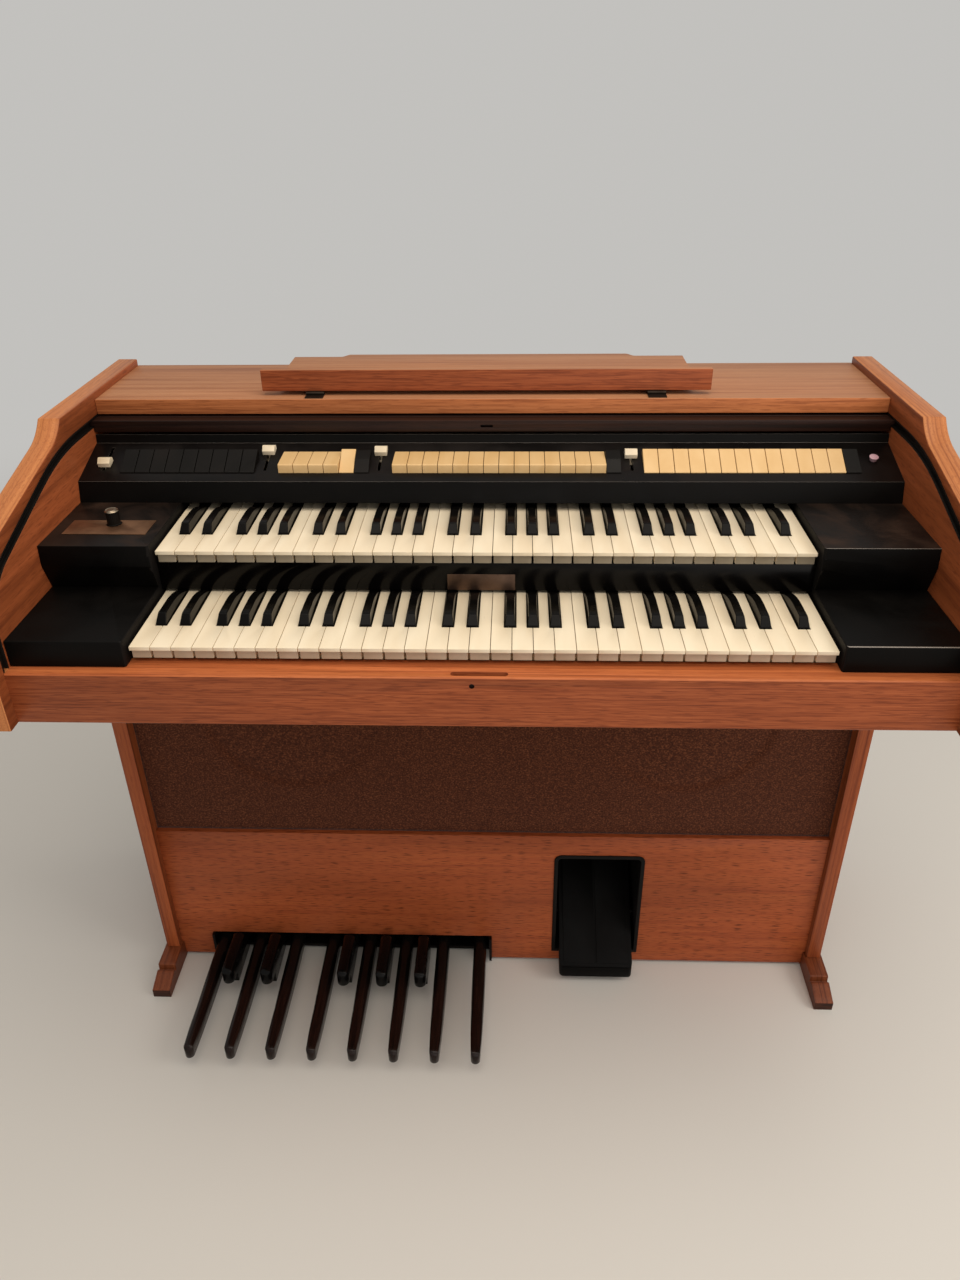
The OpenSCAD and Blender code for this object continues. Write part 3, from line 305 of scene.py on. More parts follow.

# %% [markdown]
# Key tops are moulded acrylic: an even ivory, smooth and glossy, that has yellowed a little
# more here and there. Below the lip their fronts are painted darker, a painted shade, as little
# light gets there, darker on the upper manual than on the lower. The stop tabs are urea
# plastic, yellower and less glossy, the sliders' caps are off-white, and the pilot lamp has a
# mauve lens. The sharps are gloss black phenolic.


# %% Ivory and cream plastics
def plastic(name, base, aged, gloss, coat=0.0):
    """Moulded plastic that has yellowed in broad soft patches, with faint scuffs."""
    material, tree, surface, place = finish(name, base, gloss, Coat_Weight=coat, Specular_IOR_Level=0.4)
    patches = noise(tree, place, (0.025, 0.12, 0.025), 2.0, (0.6, 2.0, 0.3))
    link(tree, ramp(tree, patches, (0.35, base), (0.7, aged)), surface, "Base Color")
    scuffs = noise(tree, place, (0.002, 0.012, 0.002), 3.0)
    dull = add(tree, "ShaderNodeMapRange", {"Value": scuffs, "To Min": gloss - 0.05,
                                            "To Max": gloss + 0.12})
    link(tree, dull.outputs[0], surface, "Roughness")
    return material


ivory = plastic("ivory_key_acrylic", "#eddfc4", "#e7d6b8", 0.28)
# Key fronts below the lip: the ivory painted darker as painted shade, most on the upper manual.
lower_front_shade = plastic("greyed_lower_key_front", "#c0b19a", "#b3a48c", 0.5)
upper_front_shade = plastic("greyed_upper_key_front", "#988c78", "#8b7f6b", 0.5)
cream = plastic("cream_tab_urea", "#dcb883", "#d3ac74", 0.40)
cap_plastic = plastic("off_white_cap_plastic", "#e2d4bb", "#d2bf9f", 0.4)
ebony = black("gloss_black_key_phenolic", "#080706", 0.17, 0.004, 0.00001, dust="#0d0a09",
              shine=0.08)
lens = plastic("mauve_lamp_lens", "#c4a0a8", "#b08a94", 0.30)

# %% [markdown]
# Small metal: two brushed plates, the knob's turned cap, the hinges, and the screws and the
# plated rod that the pedals turn on.
# A metal is its reflections, so brushing is drawn as fine streaks in the roughness and in the
# relief, along the direction of the brush.


# %% Metals
def metal(name, base, tarnish, gloss, brushed=(0.06, 0.0006, 0.0006)):
    """Brushed or turned metal with a little tarnish."""
    material, tree, surface, place = finish(name, base, gloss, Metallic=1.0)
    brush = noise(tree, place, brushed, 2.0)
    age = noise(tree, place, 0.02, 3.0)
    link(tree, ramp(tree, age, (0.4, base), (0.75, tarnish)), surface, "Base Color")
    dull = add(tree, "ShaderNodeMapRange", {"Value": brush, "To Min": gloss - 0.1,
                                            "To Max": gloss + 0.15})
    link(tree, dull.outputs[0], surface, "Roughness")
    bump(tree, surface, brush, 0.00004, 0.3)
    return material


bronze = metal("brushed_bronze_plate", "#8d6a50", "#73543f", 0.5)
bright = metal("brushed_bright_plate", "#6a5548", "#513f35", 0.45)
steel = metal("plated_steel", "#6d6762", "#544c46", 0.42)
# The hinges and their leaves under the desk ledge are painted dark: a painted shade.
shaded_hinge_steel = metal("tarnished_hinge_steel", "#3a322b", "#2a231e", 0.55)
turned = metal("turned_aluminium_cap", "#a99a85", "#8a7c6a", 0.30, brushed=(0.004, 0.0006, 0.0006))

# %% [markdown]
# The hidden boards: raw chipboard shows flakes a few millimetres long, and hardboard is an
# even brown with a fine weave on its rough side. The roll top's slats are stained nearly black.

# %% Boards and slats
FLAKES_PER_METRE = 260.0
chipboard, tree, surface, place = finish("raw_chipboard", "#a88860", 0.8)
flakes = add(tree, "ShaderNodeTexVoronoi", {"Vector": place, "Scale": FLAKES_PER_METRE}).outputs["Color"]
tone = add(tree, "ShaderNodeSeparateColor", {"Color": flakes}).outputs[0]
link(tree, ramp(tree, tone, (0.0, "#8f6f49"), (0.5, "#a88860"), (1.0, "#c0a27a")), surface,
     "Base Color")
bump(tree, surface, tone, 0.0002, 0.4)

hardboard, tree, surface, place = finish("brown_hardboard", "#6b4c33", 0.7)
fibre = noise(tree, place, 0.0018, 4.0)
link(tree, ramp(tree, fibre, (0.3, "#5a3e29"), (0.7, "#7a583c")), surface, "Base Color")
bump(tree, surface, fibre, 0.0001, 0.4)

slats = wood("dark_roll_top_slats", 0, "#2b160e", "#22110b", "#150a06", streak=0.004, length=0.3)

# %% [markdown]
# A sharp corner never shows in real woodwork or moulding: a fine rounding catches the light
# and draws every edge. The CAD solids have sharp corners, so most nodes are replaced by a copy
# with rounded edges. A Bevel modifier does this well on a clean mesh, but a CAD node is loose
# triangles, so the copy's doubles are merged and its flat faces joined first.


# %% Rounded copies of the CAD solids
def mesh_of(name, made):
    """Plain mesh of a bmesh, which is freed."""
    mesh = bpy.data.meshes.new(name)
    made.to_mesh(mesh)
    made.free()
    return mesh


def object_of(name, mesh):
    """Object with this mesh, in the scene and at the origin."""
    piece = bpy.data.objects.new(name, mesh)
    bpy.context.scene.collection.objects.link(piece)
    return piece


def smooth_piece(name, made, corner):
    """Object of a bmesh, smooth but for its edges sharper than that angle."""
    mesh = mesh_of(name, made)
    mesh.shade_smooth()
    mesh.set_sharp_from_angle(angle=math.radians(corner))
    return object_of(name, mesh)


def skin(made, rings):
    """Faces between each ring of points and the next."""
    count = len(rings[0])
    for low, high in zip(rings, rings[1:]):
        for i in range(count):
            after = (i + 1) % count
            made.faces.new((low[i], low[after], high[after], high[i]))


def clean_copy(node):
    """Mesh of a CAD node with its doubles merged and its flat faces joined."""
    mesh = nodes[node].data.copy()
    made = bmesh.new()
    made.from_mesh(mesh)
    bmesh.ops.remove_doubles(made, verts=made.verts, dist=2e-6)
    bmesh.ops.dissolve_limit(made, angle_limit=math.radians(0.8), verts=made.verts, edges=made.edges)
    made.to_mesh(mesh)
    made.free()
    mesh.materials.clear()
    return mesh


def settled(piece):
    """The piece with its modifiers applied, as a plain mesh."""
    graph = bpy.context.evaluated_depsgraph_get()
    graph.update()
    mesh = bpy.data.meshes.new_from_object(piece.evaluated_get(graph),
                                           preserve_all_data_layers=True, depsgraph=graph)
    piece.modifiers.clear()
    piece.data = mesh
    mesh.name = piece.name
    return piece


def rounded(name, mesh, radius, segments=2, corner=28.0):
    """Piece with its corners sharper than that angle rounded to a radius in millimetres."""
    piece = object_of(name, mesh)
    mesh.shade_smooth()
    edges = piece.modifiers.new("rounding", "BEVEL")
    edges.width = radius * MM
    edges.segments = segments
    edges.limit_method = "ANGLE"
    edges.angle_limit = math.radians(corner)
    edges.use_clamp_overlap = True
    edges.harden_normals = True
    return settled(piece)


def paint(piece, *finishes, pick=None):
    """Puts the finishes in the piece's slots, and pick gives the slot of each face."""
    mesh = piece.data
    mesh.materials.clear()
    for material in finishes:
        mesh.materials.append(material)
    for face in mesh.polygons:
        face.material_index = pick(face) if pick else 0
    return piece


def dressed(node, radius, *finishes, pick=None, segments=2, corner=28.0):
    """Replaces a CAD node by its rounded copy in these finishes."""
    piece = rounded(node + "_shaped", clean_copy(node), radius, segments, corner)
    paint(piece, *finishes, pick=pick)
    put(piece, node)
    return piece


def section(name, outline, half_width):
    """Closed mesh of a side outline in Y and Z, as wide as half_width(z) says at each height."""
    made = bmesh.new()
    left = [made.verts.new((-half_width(z), y, z)) for y, z in outline]
    other = [made.verts.new((half_width(z), y, z)) for y, z in outline]
    count = len(outline)
    for i in range(count):
        made.faces.new((left[i], left[(i + 1) % count], other[(i + 1) % count], other[i]))
    made.faces.new(left[::-1])
    made.faces.new(other)
    bmesh.ops.recalc_face_normals(made, faces=made.faces)
    return mesh_of(name, made)


def put(piece, node):
    """Makes a new piece take the place of a CAD node, on its body."""
    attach(piece, nodes[node]["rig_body"])
    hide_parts(node)
    print(f"{piece.name}: {len(piece.data.polygons)} faces")


slot_of = {name: node.data.materials[0].name.split(".")[0] for name, node in nodes.items()}

# %% [markdown]
# The woodwork. Tops carry the veneer and front edges the solid lipping, so one piece may need
# two finishes. The way a face looks decides which it gets.

# %% Woodwork
def facing_up(face):
    """The second finish where a face looks up."""
    return 1 if face.normal.z > 0.7 else 0


def board_edge(face):
    """The second finish where an upright board's face doesn't look sideways."""
    return 1 if abs(face.normal.x) < 0.7 else 0


dressed("lid", 1.2, lipping_lid, top_veneer, pick=facing_up)
dressed("desk_panel", 1.0, lipping_x, top_veneer, pick=facing_up)
dressed("desk_ledge", 1.0, lipping_x, top_veneer, pick=facing_up)
slip_front, slip_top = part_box("keyslip")[0].y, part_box("keyslip")[1].z
slip_rounding, lock_slot = 1.3 * MM, 5 * MM
keyhole_area, keyhole_reach, keyhole_inside = 3e-4, 15 * MM, 0.5 * MM


def keyslip_finish(face):
    """Painted shade inside the keyhole, plain in the lock's slot, and the paler lipping on top, a
    painted light.
    """
    depth = slip_top - face.center.z
    if depth < slip_rounding:
        return facing_up(face)
    small = face.area < keyhole_area and abs(face.center.x) < keyhole_reach
    inside = depth > lock_slot and face.center.y > slip_front + keyhole_inside
    return 2 if small and inside else 0


# The dark slats finish stands inside the keyhole as painted shade.
dressed("keyslip", 1.0, lipping_x, lit_lipping_top_x, slats, pick=keyslip_finish)
dressed("kickboard", 0.8, veneer_x)
# The legs' edges take the darker lipping, a painted shade.
for side in ("left", "right"):
    dressed(side + "_cheek", 1.5, veneer_y, lipping_y, pick=board_edge)
    dressed(side + "_leg", 1.2, veneer_z, shaded_lipping_z, pick=board_edge)
    dressed(side + "_track", 0.4, black_abs)
dressed("roll_top", 0.8, slats)

# %% [markdown]
# A foot's toe has a small moulding that shows as a dark line and a bright one: the flat top
# drops into a narrow quirk, and a bead rises out of it and runs over into the slope down to the
# blunt toe. The heel has the same moulding, shorter. It is cut inside the solid's outline.

# %% Feet
# Distance from the toe's end and height, in millimetres
bead = [(0, 0), (0, 14.6), (0.9, 15.6), (12, 19.4), (22, 22.8), (27, 24.6), (30, 25.5), (32, 25.7),
        (34, 25.1), (35.6, 23.4), (36.8, 21.2), (37.8, 20.2), (38.9, 20.8), (39.5, 22.4),
        (39.9, 30.6), (41.2, 32)]
heel_share = 22 / 40
blunt_height = 15 * MM
for side in ("left", "right"):
    low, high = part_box(side + "_foot")
    toe = [(low.y + along * MM, z * MM) for along, z in bead]
    heel = [(high.y - along * heel_share * MM, z * MM) for along, z in bead]
    mesh = section(side + "_foot_shaped", toe + heel[::-1], lambda z: (high.x - low.x) / 2)
    mesh.transform(Matrix.Translation(((low.x + high.x) / 2, 0, 0)))
    foot = rounded(side + "_foot_shaped", mesh, 0.8, corner=40.0)
    # Dark brown foot, and a darker blunt toe face below blunt_height: painted shade.
    paint(foot, foot_lipping_shade, foot_end, pick=lambda face: 1 if face.center.z < blunt_height else 0)
    put(foot, side + "_foot")

# %% [markdown]
# The black housing round the keys, and the boards inside and at the back.

# %% Housing and boards
def housing_finish(face):
    """The top's finish where a face looks up, and a painted highlight on the narrow rounding of a long
    front edge.
    """
    narrow = face.area < 1e-3 and abs(face.normal.x) < 0.3
    if narrow and face.normal.y < -0.2 and face.normal.z > 0.35:
        return 2
    return facing_up(face)


def block_finish(face):
    """A dull side beside the keys, the rest as on the housing."""
    return 3 if abs(face.normal.x) > 0.5 else housing_finish(face)


# The right-hand blocks and the control panel get the painted highlight on their front edges' roundings;
# the upper blocks' tops get dust and a painted sheen.
for side, edge in (("left", clean_vinyl), ("right", painted_highlight_edge)):
    for manual, top in (("upper", dust_and_sheen_vinyl), ("lower", clean_vinyl)):
        dressed(f"{manual}_{side}_block", 1.6, clean_vinyl, top, edge, board_black,
                pick=block_finish, segments=3)
# The panel's upright front face takes the darker, duller vinyl finish: a painted shade on the same
# painted steel.
dressed("control_panel", 1.4, panel_paint, panel_paint, painted_highlight_edge, clean_vinyl,
        pick=lambda face: 3 if face.normal.y < -0.95 else housing_finish(face), segments=3)
dressed("nameboard", 0.8, riser_laminate)
dressed("upper_back", 0.6, hardboard)
dressed("lower_back", 0.6, hardboard)
dressed("swell_box", 0.6, board_black)
plain = {
    "key_bed": chipboard, "speaker_board": chipboard, "lower_key_frame": chipboard,
    "upper_key_frame": board_black, "pedal_frame": panel_paint, "pedal_rod": steel,
    "desk_leaves": shaded_hinge_steel, "desk_hinges": shaded_hinge_steel,
}
for name, material in plain.items():
    nodes[name].data.materials.clear()
    nodes[name].data.materials.append(material)

# %% [markdown]
# The keys. The naturals' tops are one moulding with a lip at the front over a thinner body.
# A rounding of a third of a millimetre draws the thin shadow line between neighbours, and the
# sides come out by half of that, because old keys stand almost edge to edge.

# %% Naturals
lip_height = 4.6 * MM
key_rounding = 0.3
widening = 0.15 * MM
# The naturals' fronts below the lip take the painted shade.
for manual, front in (("lower", lower_front_shade), ("upper", upper_front_shade)):
    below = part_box(manual + "_naturals")[1].z - lip_height
    keys = dressed(manual + "_naturals", key_rounding, ivory, front,
                   pick=lambda face: 1 if face.normal.y < -0.6 and face.center.z < below else 0)
    for vertex in keys.data.vertices:
        vertex.co.x += widening * max(-1.0, min(1.0, 2 * vertex.normal.x))

# %% [markdown]
# The sharps follow a rule: in each octave that starts on C there is one to the right of every
# natural but the third and the seventh, and those at the ends of a group of two or three
# stand 2.2 mm further out. Geometry Nodes can carry that rule: a line of points one key pitch
# apart, without those two, each moved by its place in the octave, and the same key on each.


# %% One sharp
low_box, up_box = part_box("lower_sharps"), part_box("upper_sharps")
sharp_length = low_box[1].y - low_box[0].y
sharp_depth = 16 * MM
sharp_height = low_box[1].z - low_box[0].z - sharp_depth
crown = 37 * MM
hidden_from = 82 * MM
rear_height = 2 * MM
low_half_width, top_half_width = 6.5, 4.7
drop = sharp_height - rear_height
slope_run = hidden_from - crown
curve = [(crown + t * slope_run, sharp_height - drop * t * t) for t in [i / 8 for i in range(9)]]
side_line = [(0, -sharp_depth), (0, 1.5 * MM), (9 * MM, sharp_height - 0.6 * MM),
             (12 * MM, sharp_height), *curve, (sharp_length, rear_height),
             (sharp_length, -sharp_depth)]


def sharp_taper(z):
    """Half width of a sharp at that height."""
    narrowing = low_half_width - top_half_width
    return (low_half_width - narrowing * max(z, 0) / sharp_height) * MM


sharp_key = rounded("sharp_key", section("sharp_key", side_line, sharp_taper), 0.9,
                    segments=3, corner=20.0)
paint(sharp_key, ebony)


# %% Geometry Nodes for the row of sharps
def tree_with(name, *sockets):
    """A Geometry Nodes tree with geometry in and out, and these named inputs."""
    tree = bpy.data.node_groups.new(name, "GeometryNodeTree")
    tree.interface.new_socket("Places", in_out="INPUT", socket_type="NodeSocketGeometry")
    for label, kind in sockets:
        tree.interface.new_socket(label, in_out="INPUT", socket_type="NodeSocket" + kind)
    tree.interface.new_socket("Geometry", in_out="OUTPUT", socket_type="NodeSocketGeometry")
    return tree, add(tree, "NodeGroupInput").outputs


def end_tree(tree, instances, material):
    """Ends a tree: real copies, their finish, and the output."""
    real = add(tree, "GeometryNodeRealizeInstances", {"Geometry": instances})
    done = add(tree, "GeometryNodeSetMaterial", {"Geometry": real.outputs[0], "Material": material})
    add(tree, "NodeGroupOutput", {"Geometry": done.outputs[0]})


def grown(name, tree, body, slot, replaced=(), mesh=None, **inputs):
    """Piece made by a tree with these inputs, as a plain mesh that rides on the body."""
    piece = object_of(name, mesh or bpy.data.meshes.new(name))
    modifier = piece.modifiers.new("rule", "NODES")
    modifier.node_group = tree
    for item in tree.interface.items_tree:
        label = item.name.replace(" ", "_")
        if item.in_out == "INPUT" and label in inputs:
            modifier[item.identifier] = inputs[label]
    settled(piece)
    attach(piece, body)
    if replaced:
        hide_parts(*replaced)
    print(f"{name}: {len(piece.data.polygons)} faces")
    return piece


sharps_tree, given = tree_with("row of sharps", ("Key", "Object"), ("Start", "Vector"),
                               ("Pitch", "Float"), ("Naturals", "Int"), ("Shift", "Float"),
                               ("Finish", "Material"))
step = add(sharps_tree, "ShaderNodeCombineXYZ", {"X": given["Pitch"]})
points = add(sharps_tree, "GeometryNodeMeshLine",
             {"Count": given["Naturals"], "Start Location": given["Start"],
              "Offset": step.outputs[0]})
index = add(sharps_tree, "GeometryNodeInputIndex").outputs[0]
OUTWARDS = (-1.0, 1.0, 0.0, -1.0, 0.0, 1.0, 0.0)
WITHOUT_SHARP = (2, 6)
note = add(sharps_tree, "FunctionNodeIntegerMath", {0: index, 1: len(OUTWARDS)},
           operation="MODULO").outputs[0]
bare = [add(sharps_tree, "FunctionNodeCompare", {"A": note, "B": number}, data_type="INT",
            operation="EQUAL").outputs[0] for number in WITHOUT_SHARP]
gap_here = add(sharps_tree, "FunctionNodeBooleanMath", {0: bare[0], 1: bare[1]}, operation="OR")
outward = add(sharps_tree, "GeometryNodeIndexSwitch", {"Index": note}, data_type="FLOAT")
while len(outward.index_switch_items) < len(OUTWARDS):
    outward.index_switch_items.new()
for i, value in enumerate(OUTWARDS):
    outward.inputs[i + 1].default_value = value
moved = add(sharps_tree, "ShaderNodeMath", {0: outward.outputs[0], 1: given["Shift"]},
            operation="MULTIPLY")
sideways = add(sharps_tree, "ShaderNodeCombineXYZ", {"X": moved.outputs[0]})
shifted = add(sharps_tree, "GeometryNodeSetPosition", {"Geometry": points.outputs[0],
                                                       "Offset": sideways.outputs[0]})
kept = add(sharps_tree, "GeometryNodeDeleteGeometry", {"Geometry": shifted.outputs[0],
                                                       "Selection": gap_here.outputs[0]})
key = add(sharps_tree, "GeometryNodeObjectInfo", {"Object": given["Key"]})
row = add(sharps_tree, "GeometryNodeInstanceOnPoints", {"Points": kept.outputs[0],
                                                        "Instance": key.outputs["Geometry"]})
end_tree(sharps_tree, row.outputs[0], given["Finish"])

# %% Rows of sharps
key_pitch = 23.5 * MM
sharp_shift = 2.2 * MM
naturals_per_manual = 33
first_gap = -naturals_per_manual * key_pitch / 2 + key_pitch
for manual, corners in (("lower", low_box), ("upper", up_box)):
    start = (first_gap, corners[0].y, corners[0].z + sharp_depth)
    grown(manual + "_sharps_shaped", sharps_tree, "console", "black_keys", [manual + "_sharps"],
          Key=sharp_key, Start=start, Pitch=key_pitch, Naturals=naturals_per_manual - 1,
          Shift=sharp_shift, Finish=ebony)
bpy.data.objects.remove(sharp_key)

# %% [markdown]
# The stop tabs stand in four rows on the sloping panel. Each is a moulded cap on a switch, and
# there are three kinds: one that is off stands up at its rear, one that is on stands up at its
# front, and a rocker has a ridge across its middle. The rows are points that carry their kind
# as a number, and a small tree puts the right cap on each point.

# %% Three kinds of tab
slider = next(joint for joint in frame["joints"] if joint["name"] == "slider_1_slide")
slider_axis = Vector(slider["axis"])
panel_slope = math.atan2(slider_axis.z, slider_axis.y)
tab_pitch, tab_gap = 19.5 * MM, 0.8 * MM
tab_width = tab_pitch - tab_gap
# Distance up the slope and height out of it, in millimetres
outlines = {
    "off_tab": [(0, 0), (0, 1), (0.8, 1.7), (38, 9.5), (39.4, 8.7), (40, 0)],
    "on_tab": [(0, 0), (1.6, 6.6), (3, 10.2), (4.2, 11), (5.4, 10.8), (44.5, 0.8), (44.5, 0)],
    "rocker_tab": [(0, 0), (0, 1), (0.8, 1.7), (18.9, 7.5), (20.7, 7.8), (38, 8.3), (39.4, 7.5),
                   (40, 0)],
}


def on_slope(along, out):
    """Point in Y and Z of a tab's outline, given up the slope and out of it in millimetres."""
    return (along * math.cos(panel_slope) - out * math.sin(panel_slope),
            along * math.sin(panel_slope) + out * math.cos(panel_slope))


caps = {}
for name, outline in outlines.items():
    line = [tuple(value * MM for value in on_slope(*point)) for point in outline]
    caps[name] = rounded(name, section(name, line, lambda z: tab_width / 2), 0.6, segments=3,
                         corner=20.0)

KINDS = ("Off tab", "On tab", "Rocker tab")
tabs_tree, given = tree_with("tabs on their places", *[(label, "Object") for label in KINDS],
                             ("Finish", "Material"))
kind = add(tabs_tree, "GeometryNodeInputNamedAttribute", {"Name": "kind"}, data_type="INT").outputs[0]
all_tabs = add(tabs_tree, "GeometryNodeJoinGeometry")
for number, label in enumerate(KINDS):
    chosen = add(tabs_tree, "FunctionNodeCompare", {"A": kind, "B": number}, data_type="INT",
                 operation="EQUAL")
    cap = add(tabs_tree, "GeometryNodeObjectInfo", {"Object": given[label]})
    placed = add(tabs_tree, "GeometryNodeInstanceOnPoints", {"Points": given["Places"],
                                                             "Selection": chosen.outputs[0],
                                                             "Instance": cap.outputs["Geometry"]})
    tabs_tree.links.new(placed.outputs[0], all_tabs.inputs[0])
end_tree(tabs_tree, all_tabs.outputs[0], given["Finish"])

# %% Rows of tabs
black_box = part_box("black_tabs")
tab_y = black_box[0].y + math.sin(panel_slope) * MM
tab_z = black_box[0].z
OFF, ON, ROCKER = range(len(KINDS))
# Left end in millimetres, places left free, and the tabs of each run
rows = {
    "cream": [(-266.4, 0, [ON] * 4 + [OFF]), (-119.8, 0, [ON] * 14), (200.7, 0, [OFF] * 13)],
    "black": [(-473.1, 0, [OFF] * 9), (-266.4, 5, [ROCKER]), (-119.8, 14, [ROCKER]),
              (200.7, 13, [OFF])],
}
for tone, material in (("cream", cream), ("black", black_abs)):
    points = []
    kinds = []
    for start, skipped, row in rows[tone]:
        for i, kind_here in enumerate(row):
            points.append((start * MM + (skipped + i + 0.5) * tab_pitch, tab_y, tab_z))
            kinds.append(kind_here)
    mesh = bpy.data.meshes.new(tone + "_tab_places")
    mesh.from_pydata(points, [], [])
    mesh.attributes.new("kind", "INT", "POINT").data.foreach_set("value", kinds)
    grown(tone + "_tabs_shaped", tabs_tree, "console", slot_of[tone + "_tabs"], [tone + "_tabs"],
          mesh=mesh, Off_tab=caps["off_tab"], On_tab=caps["on_tab"], Rocker_tab=caps["rocker_tab"],
          Finish=material)
for cap in caps.values():
    bpy.data.objects.remove(cap)

# %% [markdown]
# The small fittings beside the tabs and keys keep the shapes of their solids, with their
# edges eased.

# %% Sliders, lamp and plates
for number in (1, 2, 3, 4):
    dressed(f"slider_{number}", 0.5, cap_plastic)
dressed("pilot_lamp", 0.5, lens)
dressed("knob_plate", 0.25, bronze)
dressed("nameplate", 0.25, bright)

# %% [markdown]
# The volume knob is turned from black plastic, with fine flutes for the fingers and a cap of
# bright metal pressed into its top. The flutes are a wave in the radius round each ring.


# %% Volume knob
def fluted_knob(name, box, rings, flutes=24):
    """Closed mesh of rings (height, radius, depth of the flutes) about the box's middle."""
    middle = (box[0] + box[1]) / 2
    points_per_flute = 6
    around = flutes * points_per_flute
    made = bmesh.new()
    circles = []
    for height, radius, depth in rings:
        circle = []
        for i in range(around):
            turn = 2 * math.pi * i / around
            reach = radius - depth * (0.5 + 0.5 * math.cos(flutes * turn))
            x = middle.x + reach * math.cos(turn)
            y = middle.y + reach * math.sin(turn)
            circle.append(made.verts.new((x, y, box[0].z + height)))
        circles.append(circle)
    skin(made, circles)
    made.faces.new(circles[0][::-1])
    made.faces.new(circles[-1])
    return smooth_piece(name, made, 35)


knob_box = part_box("volume_knob")
knob_height = knob_box[1].z - knob_box[0].z
knob_radius = (knob_box[1].x - knob_box[0].x) / 2
knob = fluted_knob("volume_knob_shaped", knob_box, [
    (0, knob_radius, 0), (1.2 * MM, knob_radius, 0), (1.6 * MM, knob_radius - 0.6 * MM, 0.2 * MM),
    (knob_height - 3.2 * MM, knob_radius - 0.8 * MM, 0.5 * MM),
    (knob_height - 2.6 * MM, knob_radius, 0), (knob_height - 1.4 * MM, knob_radius, 0),
    (knob_height - 1.0 * MM, knob_radius - 0.5 * MM, 0),
    (knob_height - 0.2 * MM, knob_radius - 1.0 * MM, 0),
    (knob_height - 0.6 * MM, knob_radius - 2.6 * MM, 0), (knob_height, knob_radius - 3.4 * MM, 0)])
knob_cap = knob_box[1].z - 1.3 * MM
paint(knob, black_abs, turned, pick=lambda face: 1 if face.center.z > knob_cap else 0)
put(knob, "volume_knob")

# %% [markdown]
# The two hardboard backs are held by screws round their edges. The rule is a grid of points as
# large as the board, less its margins, of which only the outer ring is kept: change the counts
# or the size and the spacing follows.


# %% One screw
def lathed(name, profile, around=24):
    """Closed mesh turned about Y, from pairs of a distance along Y and a radius."""
    made = bmesh.new()
    turns = [2 * math.pi * i / around for i in range(around)]
    circles = [[made.verts.new((radius * math.sin(turn), along, radius * math.cos(turn)))
                for turn in turns] for along, radius in profile]
    skin(made, circles)
    made.faces.new(circles[0])
    made.faces.new(circles[-1][::-1])
    bmesh.ops.recalc_face_normals(made, faces=made.faces)
    return smooth_piece(name, made, 40)


screw = lathed("back_screw", [(along * MM, radius * MM) for along, radius in (
    (-1, 3.8), (0.5, 3.8), (1.2, 3.2), (1.6, 2.0), (1.7, 1.3), (0.5, 1.0))])

# %% Geometry Nodes for the screws round a board
screws_tree, given = tree_with("screws round a board", ("Screw", "Object"), ("Middle", "Vector"),
                               ("Width", "Float"), ("Height", "Float"), ("Across", "Int"),
                               ("Down", "Int"), ("Finish", "Material"))
board = add(screws_tree, "GeometryNodeMeshGrid",
            {"Size X": given["Width"], "Size Y": given["Height"],
             "Vertices X": given["Across"], "Vertices Y": given["Down"]})
position = add(screws_tree, "GeometryNodeInputPosition").outputs[0]
spot = add(screws_tree, "ShaderNodeSeparateXYZ", {"Vector": position})
# Points nearer the middle than this share of the board's size aren't on its outer ring
INNER_SHARE = 0.49
within = []
for axis, side in (("X", "Width"), ("Y", "Height")):
    offset = add(screws_tree, "ShaderNodeMath", {0: spot.outputs[axis]}, operation="ABSOLUTE")
    limit = add(screws_tree, "ShaderNodeMath", {0: given[side], 1: INNER_SHARE}, operation="MULTIPLY")
    nearer = add(screws_tree, "FunctionNodeCompare",
                 {"A": offset.outputs[0], "B": limit.outputs[0]}, data_type="FLOAT",
                 operation="LESS_THAN")
    within.append(nearer.outputs[0])
inner = add(screws_tree, "FunctionNodeBooleanMath", {0: within[0], 1: within[1]}, operation="AND")
ring = add(screws_tree, "GeometryNodeDeleteGeometry", {"Geometry": board.outputs["Mesh"],
                                                       "Selection": inner.outputs[0]})
stood = add(screws_tree, "GeometryNodeTransform",
            {"Geometry": ring.outputs[0], "Translation": given["Middle"],
             "Rotation": (math.pi / 2, 0, 0)})
head = add(screws_tree, "GeometryNodeObjectInfo", {"Object": given["Screw"]})
heads = add(screws_tree, "GeometryNodeInstanceOnPoints", {"Points": stood.outputs[0],
                                                          "Instance": head.outputs["Geometry"]})
end_tree(screws_tree, heads.outputs[0], given["Finish"])

# %% Screws of the two backs
margin = 14 * MM
for board_name, across, down in (("upper_back", 6, 2), ("lower_back", 6, 4)):
    low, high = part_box(board_name)
    middle = (low + high) / 2
    middle.y = high.y
    grown(board_name + "_screws", screws_tree, "console", "hinge_steel", Screw=screw, Middle=middle,
          Width=high.x - low.x - 2 * margin, Height=high.z - low.z - 2 * margin, Across=across,
          Down=down, Finish=steel)
bpy.data.objects.remove(screw)

# %% [markdown]
# The swell shoe and the pedals, at the player's feet. A natural pedal's sides run together
# over twice the length of the solid's straight taper, in one curve, so its copy is cut across
# and each cut is narrowed to that curve.

# %% Shoe and pedals
dressed("swell_shoe", 1.0, rubber)
# Half widths of a natural pedal in millimetres, then the lengths of its tip and tapers
full_half, tip_half, tip_length = 10.5, 7.0, 7.0 * MM
solid_taper, long_taper = 80 * MM, 160 * MM
taper_cuts = 16


